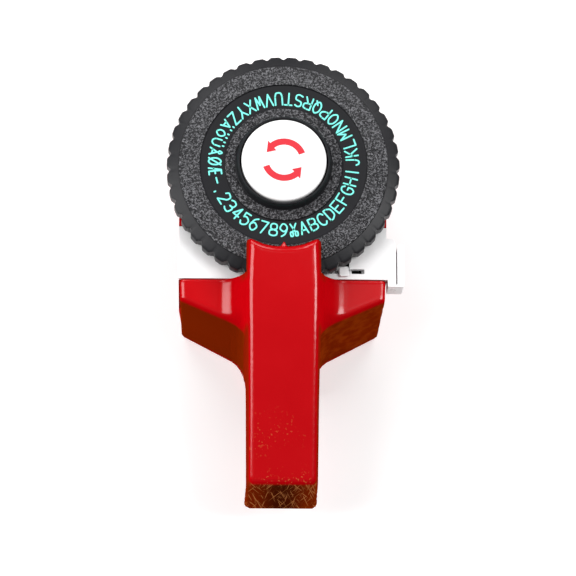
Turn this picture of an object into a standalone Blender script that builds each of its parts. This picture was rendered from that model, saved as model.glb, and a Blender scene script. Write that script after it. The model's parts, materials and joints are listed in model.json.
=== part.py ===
"""Hand-held embossing label maker: a lettered dial on a squeeze handle.

Units are metres with +Z up. The origin lies on the dial's axis, on the plane the maker rests on,
and the handle points along -Y. Working sizes below are in millimetres and become metres in mm().
"""

import math

import bmesh
import bpy
from mathutils import Matrix, Vector

# ---------------------------------------------------------------- driving dimensions (mm)
GAP = 0.3                       # running or resting gap between neighbours
WALL = 1.7                      # moulded wall of the red housings
CHARACTERS = 43                 # letters, digits and signs round the dial, and its grip notches

DIAL_R = 34.0
DIAL_Z = 37.4                   # underside of the dial's rim
NOTCH_DEPTH = 1.3
NOTCH_SHARE = 0.34              # part of each step that the notch takes
CAP_R = 12.6
CAP_BORE_R = 11.2               # hollow under the cap
CAP_LOW_Z, CAP_TOP_Z = 43.7, 48.4
CUP_R, CUP_FLOOR_Z = 12.9, 43.4
SPINDLE_R, HUB_BORE_R = 4.0, 4.3

HEAD_R = 30.5                   # round front of the head, and half its width
DECK_FRONT_Y = -16.9
SEAM_Y = -33.0                  # where the front housing meets the winged handle shell
BASE_T = 2.4                    # bottom cover
WING_TOP_Z = 36.0
DECK_Z = 34.6                   # underside of the white deck
DECK_T = 1.6

TIP_Y, TIP_Z = -24.6, 49.0      # the spine's tip, over the dial
BEND_Y, BEND_Z = -44.7, 47.0    # where the spine turns down into the handle
END_Y, END_Z = -93.4, 34.0      # end of the handle
TONGUE_Z = 45.0                 # underside of the tip
HANDLE_EDGE_Z = 27.6            # lower edge of the handle's walls at its end
SPINE_SLOPE = (BEND_Z - END_Z) / (BEND_Y - END_Y)
SPINE_WALL_Y = SEAM_Y - 1.6     # wall of the spine behind the dial's rim
SPINE_FLOOR_Z = 30.0            # underside of the spine where it lies in the wings
CHANNEL_HALF = 8.3              # hollow of the handle that the lever swings in
CHANNEL_FRONT_Y = SEAM_Y - 3.2
CHANNEL_LOW_Z = 13.3
ROOF = WALL + 0.1

PIVOT_Y, PIVOT_Z = -2.5, 17.0   # trigger pivot
STATION_Y = -26.5               # where a letter is pressed into the tape
ARM_TOP_Z = 19.0                # top of the lever's front arm
LEVER_LOW_Z = 14.5
LEVER_HALF = 7.6
LEVER_END_Y = -90.6             # end of the lever's upright walls, clear of the handle's end wall
HEEL_HALF = 9.4
HEEL_BACK_Y = -92.4
TAIL_Y, TAIL_HALF = -96.6, 10.3 # foot of the wall that hangs from the handle's end, behind the lever
CHASSIS_Z = 12.6
CHASSIS_T = 1.4
CHASSIS_TOP = CHASSIS_Z + CHASSIS_T
SPRING_Y, SPRING_R, SPRING_WIRE, SPRING_TURNS = -52.0, 3.2, 0.45, 6

PUNCH_Z = 28.0                  # underside of the punch disc
DIE_Z = 31.2                    # underside of the die disc
DISC_T = 0.8
DISC_R = 28.6
TAPE_Z = 30.3                   # underside of the tape in its channel
TAPE_T = 0.3
TAPE_W = 9.0                    # standard embossing tape

FEED_X, FEED_Z, FEED_R = 23.6, 26.5, 3.5
PRESS_R = 1.5
REEL_X, REEL_Y, REEL_R = 4.0, -5.0, 17.0
REEL_Z = 2.8
CUT_X = -24.0

SCREW_SPOTS = ((25.6, -8.0), (-25.6, -8.0), (24.0, -36.0), (-24.0, -36.0))
BOSS_R, SCREW_BORE_R, SCREW_BORE_TOP = 3.6, 1.5, 10.0
PIN_BORE_R, LEVER_PIN_R = 1.8, 1.5
PAWL_X, PAWL_Y = 15.0, -35.0
PAWL_PIN_R, PAWL_BORE_R = 1.0, 1.3
SHAFT_R, SHAFT_BORE_R = 1.2, 1.5
PRESS_X = FEED_X + 1.0

COVER_HALF, COVER_BACK_Y = 22.0, -24.0
LEDGE_X, LEDGE_LOW_Z = 30.8, 28.0       # inner side of the ledge's skirt, and its lower edge
LEDGE_BACK_Y, LEDGE_FRONT_Y = -34.8, -20.1

COLOURS = {                     # base colour, roughness, metallic
    "red": ((0.62, 0.004, 0.008, 1.0), 0.18, 0.0),
    "black": ((0.035, 0.035, 0.038, 1.0), 0.55, 0.0),
    "white": ((0.86, 0.86, 0.85, 1.0), 0.3, 0.0),
    "grey": ((0.32, 0.32, 0.33, 1.0), 0.5, 0.0),
    "steel": ((0.6, 0.6, 0.62, 1.0), 0.35, 1.0),
    "rubber": ((0.03, 0.03, 0.03, 1.0), 0.85, 0.0),
    "tape": ((0.012, 0.012, 0.014, 1.0), 0.3, 0.0),
}


def mm(*values):
    """Turn millimetres into a Blender vector in metres."""
    return Vector([value * 0.001 for value in values])


# ---------------------------------------------------------------- building blocks
def clear_scene():
    """Remove whatever the scene starts with."""
    for old in list(bpy.data.objects):
        bpy.data.objects.remove(old, do_unlink=True)


def material(name, kind):
    """Make a piece's own material from the table of colours."""
    colour, roughness, metallic = COLOURS[kind]
    made = bpy.data.materials.new(name)
    made.use_nodes = True
    shader = made.node_tree.nodes["Principled BSDF"]
    shader.inputs["Base Color"].default_value = colour
    shader.inputs["Roughness"].default_value = roughness
    shader.inputs["Metallic"].default_value = metallic
    return made


def piece(name, bm, kind=None, origin=(0.0, 0.0, 0.0), parent=None, smooth=None):
    """Make a named object from a mesh given in world millimetres, with its origin at `origin`."""
    bm.transform(Matrix.Scale(0.001, 4))
    bmesh.ops.recalc_face_normals(bm, faces=bm.faces)
    bm.transform(Matrix.Translation(-mm(*origin)))
    mesh = bpy.data.meshes.new(name)
    bm.to_mesh(mesh)
    bm.free()
    made = bpy.data.objects.new(name, mesh)
    bpy.context.collection.objects.link(made)
    made.location = mm(*origin)
    if parent is not None:
        made.parent = parent
        made.location = mm(*origin) - parent.location
    if smooth is not None:
        mesh.shade_smooth()
        mesh.set_sharp_from_angle(angle=math.radians(smooth))
    if kind is None:
        made.hide_render = True
        made.display_type = "WIRE"
    else:
        mesh.materials.append(material(name, kind))
    return made


def joint_empty(name, place):
    """Make an empty on a joint's axis, to carry the pieces that move with it."""
    made = bpy.data.objects.new(name, None)
    bpy.context.collection.objects.link(made)
    made.location = mm(*place)
    return made


def shape(target, tools, operation="DIFFERENCE"):
    """Cut, join or intersect a piece with hidden tool solids, one Boolean each."""
    for tool in tools:
        step = target.modifiers.new(tool.name, "BOOLEAN")
        step.operation = operation
        step.solver = "EXACT"
        step.object = tool
        tool.parent = target.parent
        if target.parent is not None:
            tool.location = tool.location - target.parent.location
    return target


def loft(rings):
    """Close a solid over a list of point rings that all have the same number of points."""
    bm = bmesh.new()
    loops = [[bm.verts.new(point) for point in ring] for ring in rings]
    count = len(loops[0])
    for low, high in zip(loops, loops[1:]):
        for i in range(count):
            j = (i + 1) % count
            bm.faces.new((low[i], low[j], high[j], high[i]))
    bm.faces.new(list(reversed(loops[0])))
    bm.faces.new(loops[-1])
    return bm


def prism(outline, low, high, axis="Z"):
    """Extrude a flat outline: XY points along Z, or YZ points along X, or XZ points along Y."""
    def place(point, level):
        a, b = point
        return {"Z": (a, b, level), "X": (level, a, b), "Y": (a, level, b)}[axis]
    return loft([[place(point, level) for point in outline] for level in (low, high)])


def box(x0, x1, y0, y1, z0, z1):
    """A block between two corners."""
    return prism([(x0, y0), (x1, y0), (x1, y1), (x0, y1)], z0, z1)


def arc(centre, radius, start, end, steps):
    """Points on an arc, angles in degrees."""
    points = []
    for i in range(steps + 1):
        a = math.radians(start + (end - start) * i / steps)
        points.append((centre[0] + radius * math.cos(a), centre[1] + radius * math.sin(a)))
    return points


def rod(radius, low, high, centre=(0.0, 0.0), axis="Z", sides=24):
    """A round bar along an axis; `centre` is given in the other two coordinates."""
    return prism(arc(centre, radius, 0, 360 * (sides - 1) / sides, sides - 1), low, high, axis)


def tube(outer, inner, low, high, centre=(0.0, 0.0), axis="Z", sides=24):
    """A ring with a round hole, built as four lofted loops joined end to end."""
    def loop(radius, level):
        flat = arc(centre, radius, 0, 360 * (sides - 1) / sides, sides - 1)
        spot = {"Z": lambda a, b: (a, b, level), "X": lambda a, b: (level, a, b),
                "Y": lambda a, b: (a, level, b)}[axis]
        return [spot(a, b) for a, b in flat]
    return closed_band([loop(outer, low), loop(outer, high), loop(inner, high), loop(inner, low)])


def closed_band(rings):
    """Join rings into a band whose last ring meets the first, as a torus does."""
    bm = bmesh.new()
    loops = [[bm.verts.new(point) for point in ring] for ring in rings]
    count = len(loops[0])
    for k, low in enumerate(loops):
        high = loops[(k + 1) % len(loops)]
        for i in range(count):
            j = (i + 1) % count
            bm.faces.new((low[i], low[j], high[j], high[i]))
    return bm


def turned(profile, sides):
    """Turn an (r, z) profile round Z. It runs from the axis side round and back; r may not be 0."""
    rings = []
    for radius, z in profile:
        rings.append([(x, y, z) for x, y in arc((0, 0), radius, 0, 360 * (sides - 1) / sides, sides - 1)])
    return closed_band(rings)


def bezier(a, b, c, steps):
    """Points of a quadratic curve from a to c, pulled towards b."""
    points = []
    for i in range(steps + 1):
        t = i / steps
        points.append(tuple((1 - t) ** 2 * p + 2 * t * (1 - t) * q + t * t * r for p, q, r in zip(a, b, c)))
    return points


def mirrored(right):
    """Close an outline whose right half runs front to back, with its mirror image."""
    return right + [(-x, y) for x, y in reversed(right)]


# ---------------------------------------------------------------- outlines shared by the housings
def flank(top, inset=0.0):
    """Right half of the winged rear: side, slanted rear edge, then a hollow curve into the neck."""
    if top:
        side, corner, slant, neck, end = 30.0, (29.3, -39.2), (15.4, -45.3), (9.8, -52.0), (8.8, -53.4)
    else:
        side, corner, slant, neck, end = 30.0, (29.0, -41.0), (14.3, -48.8), (10.1, -58.0), (8.6, -59.4)
    pull = (neck[0] + 0.5, slant[1] - 2.4)
    curve = bezier(slant, pull, neck, 5)
    points = [(side - inset, SEAM_Y), (corner[0] - inset, corner[1] + inset * 0.9)]
    points += [(x - inset * 0.6, y + inset * 0.9) for x, y in curve]
    points.append((end[0] - inset, end[1] + inset))
    return points


def head_front(radius, half, back, steps=24):
    """The head's front as an outline: straight sides from `back` to a half circle."""
    return [(half, back)] + arc((0, 0), radius, 0, 180, steps) + [(-half, back)]


def spine_plan():
    """Plan of the spine and handle: hollow tip with a small pointer, and tapering sides."""
    right = [(0.0, TIP_Y + 0.4), (1.1, TIP_Y - 2.0), (4.0, TIP_Y - 1.8), (8.0, TIP_Y - 0.85),
             (9.9, TIP_Y), (10.2, TIP_Y - 1.2), (10.3, SEAM_Y), (10.1, BEND_Y), (9.7, END_Y + 2.2),
             (9.1, END_Y + 0.6), (7.6, END_Y)]
    return right + [(-x, y) for x, y in reversed(right[1:])]


def spine_side():
    """Side view of the spine: flat tongue over the dial, then down the handle."""
    front, back = TIP_Y + 2.0, END_Y - 1.0
    return [(front, TIP_Z), (BEND_Y, BEND_Z), (back, END_Z - SPINE_SLOPE), (back, HANDLE_EDGE_Z),
            (-62.0, SPINE_FLOOR_Z + 1.0), (-52.0, SPINE_FLOOR_Z), (SPINE_WALL_Y, SPINE_FLOOR_Z),
            (SPINE_WALL_Y, TONGUE_Z), (front, TONGUE_Z)]


# ---------------------------------------------------------------- housings
def screw_posts(shell, spots, name):
    """Add bored posts inside a housing for the screws of the bottom cover."""
    bosses, bores = [], []
    for i, spot in enumerate(spots):
        boss = rod(BOSS_R, BASE_T + GAP, CHASSIS_Z - GAP, spot, sides=16)
        bore = rod(SCREW_BORE_R, 0.0, SCREW_BORE_TOP, spot, sides=12)
        bosses.append(piece("%s_boss_%d" % (name, i), boss))
        bores.append(piece("%s_bore_%d" % (name, i), bore))
    shape(shell, bosses, "UNION")
    shape(shell, bores)


def handle_shell():
    """Winged rear housing, spine and handle in one hollow moulding, open below and in front."""
    low = [(x, y, BASE_T + GAP) for x, y in mirrored(flank(top=False))]
    high = [(x, y, WING_TOP_Z) for x, y in mirrored(flank(top=True))]
    shell = piece("handle_shell", loft([low, high]), "red", smooth=35)
    spine = piece("spine_form", prism(spine_plan(), 20.0, 60.0))
    shape(spine, [piece("spine_side_form", prism(spine_side(), -20.0, 20.0, "X"))], "INTERSECT")
    shape(shell, [spine], "UNION")
    shape(shell, [wing_hollow(), mouth_hollow(), handle_channel()])

    webs = []
    for name, side in (("right", 1), ("left", -1)):
        x0, x1 = sorted((side * 26.0, side * 28.2))
        webs.append(piece("rear_web_" + name, box(x0, x1, -37.0, -35.0, BASE_T + GAP, CHASSIS_Z - GAP)))
    shape(shell, webs + [tail_wall()], "UNION")
    screw_posts(shell, SCREW_SPOTS[2:], "rear")


def tail_wall():
    """The wall that hangs from the handle's end and hides the end of the lever."""
    rings = []
    for half, back, z in ((TAIL_HALF, TAIL_Y, CHANNEL_LOW_Z + 0.2), (9.5, END_Y + 0.1, END_Z - 1.5)):
        front = back + WALL + 0.2
        right = [(half, front), (half, back + 1.5), (half - 0.5, back + 0.45), (half - 1.6, back)]
        rings.append([(x, y, z) for x, y in mirrored(right)])
    return piece("tail_wall", loft(rings))


def wing_hollow():
    """The room inside the wings, open at the bottom."""
    low = [(x, y, -1.0) for x, y in mirrored(flank(top=False, inset=WALL))]
    high = [(x, y, WING_TOP_Z - WALL) for x, y in mirrored(flank(top=True, inset=WALL))]
    return piece("wing_hollow", loft([low, high]))


def mouth_hollow():
    """Opens the wings towards the front housing."""
    half = flank(top=False)[0][0] - WALL
    return piece("mouth_hollow", box(-half, half, SEAM_Y - 2.5, SEAM_Y + 3.0, -2.0, WING_TOP_Z - WALL))


def handle_channel():
    """The room inside the spine and handle for the lever and its spring."""
    end = END_Y + WALL
    side = [(CHANNEL_FRONT_Y, TIP_Z - 2.8), (BEND_Y, BEND_Z - ROOF), (end, END_Z + SPINE_SLOPE * WALL - ROOF),
            (end, CHANNEL_LOW_Z), (CHANNEL_FRONT_Y, CHANNEL_LOW_Z)]
    return piece("handle_channel", prism(side, -CHANNEL_HALF, CHANNEL_HALF, "X"))


def front_housing():
    """Round front of the head, with a seat for the deck and a way out for the tape on the left."""
    back = SEAM_Y + GAP
    inner = HEAD_R - 1.5
    shell = piece("front_housing", prism(head_front(HEAD_R, HEAD_R, back), BASE_T + GAP, WING_TOP_Z), "red",
                  smooth=35)
    hollow = piece("front_hollow", prism(head_front(inner, inner, back - 2.0), 0.0, WING_TOP_Z - 1.8))
    wide, high = HEAD_R + 1.5, DIAL_Z + 3.0
    seat = piece("deck_seat", box(-wide, wide, back - 3.0, DECK_FRONT_Y + GAP, DECK_Z - 0.5, high))
    shaft_hole = piece("shaft_hole", rod(SPINDLE_R + 0.4, 30.0, high, sides=32))
    tape_exit = piece("tape_exit", box(-wide, -27.0, STATION_Y - 5.1, STATION_Y + 5.1, TAPE_Z - 1.5, high))
    shape(shell, [hollow, seat, shaft_hole, tape_exit])
    screw_posts(shell, SCREW_SPOTS[:2], "front")


def tape_deck():
    """White deck with a side ledge that ends in a hooked lip and a thin slit."""
    left, right, back = -HEAD_R, HEAD_R, SEAM_Y + GAP
    top_z = DECK_Z + DECK_T
    plan = [(left, back), (right, back), (right, DECK_FRONT_Y), (left, DECK_FRONT_Y)]
    deck = piece("tape_deck", prism(plan, DECK_Z, top_z), "white", smooth=35)
    edge_x = LEDGE_X + 4.8
    edge = [(LEDGE_X, LEDGE_BACK_Y), (edge_x - 0.4, LEDGE_BACK_Y), (edge_x, LEDGE_BACK_Y + 0.4)]
    lip = arc((edge_x - 1.0, -22.8), 1.0, 0, 160, 6) + [(33.4, -23.4), (32.75, -20.5), (32.4, LEDGE_FRONT_Y)]
    plate = [(28.0, LEDGE_FRONT_Y), (28.0, back), (LEDGE_X, back)] + edge + lip
    skirt = [(LEDGE_X, LEDGE_FRONT_Y)] + edge + lip
    lugs = [piece("ledge_top", prism(plate, DECK_Z, top_z)),
            piece("ledge_skirt", prism(skirt, LEDGE_LOW_Z, DECK_Z + 0.5))]
    for name, y in (("rear", -32.4), ("front", -21.6)):
        lugs.append(piece("roller_lug_" + name, box(23.4, 25.8, y, y + 0.8, DIE_Z, DECK_Z + 0.5)))
    shape(deck, lugs, "UNION")
    shape(deck, [piece("ledge_slit", box(33.2, 33.6, -34.1, -23.0, 20.0, 40.0)),
                 piece("slider_slot", box(12.6, 23.9, -31.0, -29.6, 30.0, 40.0)),
                 piece("slider_recess", box(15.7, 19.5, -29.8, -25.8, 30.0, 40.0)),
                 piece("roller_lug_hole", rod(0.9, -35.0, -20.0, (PRESS_X, press_height()), "Y", 12))])


def press_height():
    """Height at which the pressure roller just clears the tape on the feed roller."""
    reach = FEED_R + PRESS_R + TAPE_T + 2 * GAP
    return FEED_Z + math.sqrt(reach * reach - (PRESS_X - FEED_X) ** 2)


def base_outline():
    """Outline of the bottom cover: the head's round front and the wings' rear."""
    rear = flank(top=False)
    front = head_front(HEAD_R, HEAD_R, SEAM_Y)
    return front[:-1] + [(-HEAD_R, SEAM_Y)] + [(-x, y) for x, y in rear[1:]] + list(reversed(rear[1:]))


def dovetail(half, low, high, back, front):
    """A plate that is wider on top than below, so it slides but can't drop out."""
    section = [(-half + 0.6, low), (half - 0.6, low), (half, high), (-half, high)]
    return prism(section, back, front, "Y")


def bottom_cover():
    """Screwed bottom cover with a sliding door under the tape reel."""
    base = piece("base_plate", prism(base_outline(), 0.0, BASE_T), "red")
    way = dovetail(COVER_HALF + GAP, -0.001, BASE_T + 0.001, COVER_BACK_Y - GAP, 40.0)
    bores = []
    for i, spot in enumerate(SCREW_SPOTS):
        bores.append(piece("base_sink_%d" % i, rod(2.7, -1.0, 1.4, spot, sides=16)))
        bores.append(piece("base_bore_%d" % i, rod(SCREW_BORE_R, 0.5, 4.0, spot, sides=12)))
    shape(base, [piece("cover_opening", way)] + bores)

    cover = piece("reel_cover", dovetail(COVER_HALF, 0.0, BASE_T, COVER_BACK_Y, 35.0), "red",
                  origin=(0, COVER_BACK_Y, 0))
    rim = piece("cover_round", prism(head_front(HEAD_R, HEAD_R, -40.0), -5.0, 10.0))
    grips = []
    for i in range(4):
        y = 12.0 + 2.4 * i
        grips.append(piece("cover_grip_%d" % i, box(-8.0, 8.0, y, y + 1.0, -1.0, 0.6)))
    shape(cover, [rim], "INTERSECT")
    shape(cover, grips)

    for i, (x, y) in enumerate(SCREW_SPOTS):
        screw("screw_%d" % (i + 1), x, y)


def screw(name, x, y):
    """A short self-tapping screw, head down, with a cross recess."""
    made = piece(name, rod(2.3, 0.2, 1.1, (x, y), sides=16), "steel", origin=(x, y, 0.2), smooth=35)
    shank = piece(name + "_shank", rod(1.15, 1.0, 9.0, (x, y), sides=12))
    shape(made, [shank], "UNION")
    cross = [piece(name + "_slot_a", box(x - 1.3, x + 1.3, y - 0.3, y + 0.3, -1.0, 0.7)),
             piece(name + "_slot_b", box(x - 0.3, x + 0.3, y - 1.3, y + 1.3, -1.0, 0.7))]
    shape(made, cross)


# ---------------------------------------------------------------- inner frame
def chassis():
    """Plate between the tape reel and the lever, with the lever's lugs and the roller posts."""
    half, rear_half, rear_y = 28.5, 26.8, -37.5
    outline = arc((0, 0), half, 0, 180, 20)
    outline += [(-half, -32.4), (-rear_half, -33.4), (-rear_half, rear_y), (rear_half, rear_y),
                (rear_half, -33.4), (half, -32.4)]
    frame = piece("chassis", prism(outline, CHASSIS_Z, CHASSIS_TOP), "grey", smooth=35)
    blocks = {
        "lug_left": (-12.6, -8.6, -6.5, 1.5, 20.6),
        "lug_right": (8.6, 12.6, -6.5, 1.5, 20.6),
        "guide_left": (-12.6, -9.0, -30.0, -23.0, 27.3),
        "guide_right": (9.0, 12.6, -30.0, -23.0, 27.3),
        "feed_post_front": (20.6, 26.8, -21.4, -20.4, 28.8),
        "feed_post_rear": (20.6, 26.8, -33.2, -32.0, 28.8),
        "cutter_post_front": (-26.0, -22.0, -21.2, -20.2, 26.0),
        "cutter_post_rear": (-26.0, -22.0, -33.4, -32.4, 26.0),
    }
    joined = []
    for name, (x0, x1, y0, y1, z1) in blocks.items():
        joined.append(piece("chassis_" + name, box(x0, x1, y0, y1, CHASSIS_TOP - 0.5, z1)))
    joined.append(piece("chassis_bridge", box(-10.0, 10.0, -29.6, -23.4, 22.7, 27.3)))
    joined.append(piece("chassis_reel_post", rod(2.3, 3.2, CHASSIS_Z + 0.5, (REEL_X, REEL_Y), sides=20)))
    shape(frame, joined, "UNION")
    shape(frame, [piece("tape_window", box(14.0, 28.0, -31.6, -21.8, CHASSIS_Z - 2.0, CHASSIS_TOP + 1.0)),
                  piece("pivot_bore", rod(PIN_BORE_R, -14.0, 14.0, (PIVOT_Y, PIVOT_Z), "X", 16)),
                  piece("ram_bore", box(-2.7, 2.7, STATION_Y - 2.1, STATION_Y + 2.1, 20.0, 30.0)),
                  piece("feed_bore", rod(SHAFT_BORE_R, -36.0, -18.0, (FEED_X, FEED_Z), "Y", 16))])


# ---------------------------------------------------------------- dial and its discs
def notch_points(step_index, radius, depth):
    """One grip notch and the tooth after it, as points on the dial's outline."""
    step = 360.0 / CHARACTERS
    start = -90.0 + step * (step_index + 0.5 - NOTCH_SHARE / 2)
    points = []
    for share, sink in ((0.0, 0.0), (0.22, 0.72), (0.5, 1.0), (0.78, 0.72), (1.0, 0.0)):
        a = math.radians(start + step * NOTCH_SHARE * share)
        r = radius - depth * sink
        points.append((r * math.cos(a), r * math.sin(a)))
    return points


def notched_outline(radius, depth):
    """The dial's whole scalloped outline."""
    points = []
    for i in range(CHARACTERS):
        points += notch_points(i, radius, depth)
    return points


def dial(axis):
    """Moulded dial: notched rim, domed face with a sunken letter ring, and a cup for the cap."""
    bands = [(DIAL_R - 0.6, DIAL_Z, 1.0), (DIAL_R, DIAL_Z + 0.6, 1.0), (DIAL_R, DIAL_Z + 4.0, 1.0),
             (DIAL_R - 0.9, DIAL_Z + 4.7, 0.6)]
    rim = []
    for radius, z, share in bands:
        rim.append([(x, y, z) for x, y in notched_outline(radius, NOTCH_DEPTH * share)])
    body = piece("dial", loft(rim), "black", parent=axis, smooth=30)
    face_z = DIAL_Z + 4.65
    crown = [(2.0, DIAL_Z + 4.0), (32.0, DIAL_Z + 4.0), (32.0, face_z), (30.8, face_z + 0.75),
             (24.5, 44.2), (24.3, 43.9), (17.5, 43.9), (17.3, 44.2), (15.2, 44.3), (14.2, 44.8),
             (13.7, 45.8), (13.5, 47.4), (13.2, 47.7), (CUP_R, 47.7), (CUP_R, CUP_FLOOR_Z - 0.1),
             (2.0, CUP_FLOOR_Z - 0.1)]
    shape(body, [piece("dial_crown", turned(crown, 64))], "UNION")
    below = DIAL_Z - 7.4
    under = [(9.0, below), (30.6, below), (30.6, DIAL_Z + 3.0), (24.0, DIAL_Z + 3.8), (9.0, DIAL_Z + 3.8)]
    shape(body, [piece("dial_hollow", turned(under, 64)),
                 piece("dial_cup", rod(CUP_R, CUP_FLOOR_Z, 60.0, sides=64)),
                 piece("dial_hub_bore", rod(HUB_BORE_R, below, DIAL_Z + 3.2, sides=32)),
                 piece("dial_screw_way", rod(2.0, below, 50.0, sides=24))])


def dial_cap(axis):
    """White cap with a softly domed top, hollow below."""
    cap = piece("dial_cap", rod(CAP_R, CAP_LOW_Z, CAP_TOP_Z - 0.8, sides=64), "white", parent=axis, smooth=35)
    dome = []
    for radius, drop in ((CAP_R, 0.9), (CAP_R - 0.15, 0.5), (CAP_R - 0.6, 0.2), (7.0, 0.0)):
        dome.append([(x, y, CAP_TOP_Z - drop) for x, y in arc((0, 0), radius, 0, 360 * 63 / 64, 63)])
    shape(cap, [piece("cap_dome", loft(dome))], "UNION")
    shape(cap, [piece("cap_hollow", rod(CAP_BORE_R, CAP_LOW_Z - 3.7, CAP_TOP_Z - WALL, sides=48))])


def dial_parts():
    """Everything that turns with the dial."""
    axis = joint_empty("dial_axis", (0, 0, DIAL_Z))
    dial(axis)
    dial_cap(axis)

    head = rod(3.6, CUP_FLOOR_Z + GAP, 45.4, sides=20)
    top_screw = piece("dial_screw", head, "steel", parent=axis, smooth=35)
    shape(top_screw, [piece("dial_screw_shank", rod(1.6, 34.0, 44.0, sides=16))], "UNION")
    shape(top_screw, [piece("dial_screw_slot", box(-4.0, 4.0, -0.4, 0.4, 44.8, 50.0))])

    low = PUNCH_Z - 1.8
    post = piece("spindle", rod(SPINDLE_R, low, 40.2, sides=32), "steel", parent=axis, smooth=35)
    shape(post, [piece("spindle_flange", rod(7.5, low, low + 1.5, sides=32))], "UNION")
    shape(post, [piece("spindle_bore", rod(1.9, 33.5, 45.0, sides=16))])

    for name, low in (("punch_disc", PUNCH_Z), ("die_disc", DIE_Z)):
        disc = piece(name, prism(finger_outline(), low, low + DISC_T), "grey", parent=axis)
        shape(disc, [piece(name + "_bore", rod(HUB_BORE_R, low - 3.0, low + 3.0, sides=32))])
    piece("disc_spacer", tube(8.0, HUB_BORE_R, PUNCH_Z + DISC_T + GAP, DIE_Z - GAP, sides=32), "grey",
          parent=axis, smooth=35)


def finger_outline():
    """A disc whose edge is slit into one springy finger for each character."""
    step = 360.0 / CHARACTERS
    slit_r, slit_half = 20.0, 0.35
    points = []
    for i in range(CHARACTERS):
        middle = -90.0 + step * (i + 0.5)
        for radius, side in ((DISC_R, -1), (slit_r, -1), (slit_r, 1), (DISC_R, 1)):
            a = math.radians(middle) + side * slit_half / radius
            points.append((radius * math.cos(a), radius * math.sin(a)))
    return points


# ---------------------------------------------------------------- trigger, ram and springs
def trigger():
    """The lever under the handle, its pins, the feed pawl on its side arm, and the ram it lifts."""
    pivot = joint_empty("trigger_pivot", (0, PIVOT_Y, PIVOT_Z))
    centre = (PIVOT_Y, PIVOT_Z)
    eye = arc(centre, 2.5, 100, -100, 10)
    arm = [(-40.0, ARM_TOP_Z)] + eye + [(-60.0, LEVER_LOW_Z), (LEVER_END_Y, LEVER_LOW_Z - 0.9),
                                         (LEVER_END_Y, 20.8), (-60.0, 22.0), (-46.0, 22.0)]
    lever = piece("trigger_lever", prism(arm, -LEVER_HALF, LEVER_HALF, "X"), "red", parent=pivot,
                  origin=(0, PIVOT_Y, PIVOT_Z))
    inner = LEVER_HALF - 1.6
    shape(lever, [piece("lever_hollow", box(-inner, inner, LEVER_END_Y + 1.6, -44.0, 0.0, 19.4))])
    heel = [(-84.0, LEVER_LOW_Z - 0.8), (HEEL_BACK_Y, LEVER_LOW_Z - 1.0), (HEEL_BACK_Y, 16.0),
            (HEEL_BACK_Y + 0.4, 16.4), (-86.0, 16.4)]
    shape(lever, [piece("lever_heel", prism(heel, -HEEL_HALF, HEEL_HALF, "X")),
                  piece("lever_side_arm", box(7.0, PAWL_X + 1.6, -38.6, -36.4, PIVOT_Z - 2.0, ARM_TOP_Z))],
          "UNION")
    shape(lever, [piece("lever_pivot_bore", rod(PIN_BORE_R, -9.0, 9.0, centre, "X", 16)),
                  piece("lever_pawl_bore", rod(PAWL_BORE_R, -42.0, -35.0, (PAWL_X, PIVOT_Z), "Y", 12))])
    piece("lever_pin", rod(LEVER_PIN_R, -12.4, 12.4, centre, "X", 16), "steel", smooth=35,
          origin=(0, PIVOT_Y, PIVOT_Z))
    feed_pawl(pivot)
    ram_low = ARM_TOP_Z + 0.4
    piece("ram", box(-2.4, 2.4, STATION_Y - 1.8, STATION_Y + 1.8, ram_low, 24.95), "steel",
          origin=(0, STATION_Y, ram_low))


def feed_pawl(pivot):
    """The hooked finger that pushes the ratchet wheel, on its own pin."""
    centre = (PAWL_X, PIVOT_Z)
    piece("pawl_pin", rod(PAWL_PIN_R, -38.4, -34.3, centre, "Y", 12), "steel", parent=pivot,
          origin=(PAWL_X, PAWL_Y - 1.0, PIVOT_Z), smooth=35)
    swing = joint_empty("pawl_pivot", (PAWL_X, PAWL_Y, PIVOT_Z))
    hook = [(13.4, 15.6), (16.6, 15.6), (17.2, 20.0), (17.6, 24.4), (18.9, 25.2), (18.7, 26.6), (16.6, 26.4),
            (15.2, 22.0), (13.4, 18.4)]
    pawl = piece("feed_pawl", prism(hook, PAWL_Y - 0.9, PAWL_Y + 0.5, "Y"), "steel", parent=swing,
                 origin=(PAWL_X, PAWL_Y, PIVOT_Z))
    shape(pawl, [piece("pawl_bore", rod(PAWL_BORE_R, -37.0, -33.0, centre, "Y", 12))])


def coil_spring(name, centre, low, high, radius, wire, turns, sides=6, steps=11):
    """A round-wire compression spring whose ends come to rest flat."""
    rings = []
    count = int(turns * steps)
    for i in range(count + 1):
        t = i / count
        a = 2 * math.pi * turns * t
        z = low + wire + (high - low - 2 * wire) * t
        out = Vector((math.cos(a), math.sin(a), 0))
        spot = Vector((centre[0], centre[1], z)) + out * radius
        ring = []
        for k in range(sides):
            b = 2 * math.pi * k / sides
            ring.append(spot + out * wire * math.cos(b) + Vector((0, 0, wire * math.sin(b))))
        rings.append(ring)
    return piece(name, loft(rings), "steel", smooth=60, origin=(centre[0], centre[1], high))


def springs():
    """The spring that returns the trigger, and the leaf that clicks into the discs' slits."""
    ceiling = BEND_Z + SPINE_SLOPE * (SPRING_Y - BEND_Y) - ROOF
    centre, low, high = (0, SPRING_Y), 22.0 + GAP, ceiling - 1.6
    coil_spring("trigger_spring", centre, low, high, SPRING_R, SPRING_WIRE, SPRING_TURNS)

    leaf = [(12.0, 33.9), (12.0, 33.4), (17.0, 33.4), (22.0, 32.9), (23.6, 32.35), (25.2, 32.9), (26.4, 33.3),
            (26.4, 33.8), (25.0, 33.4), (23.6, 32.9), (22.2, 33.4), (17.0, 33.9)]
    piece("detent_spring", prism(leaf, -2.5, 2.5, "X"), "steel")


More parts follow.
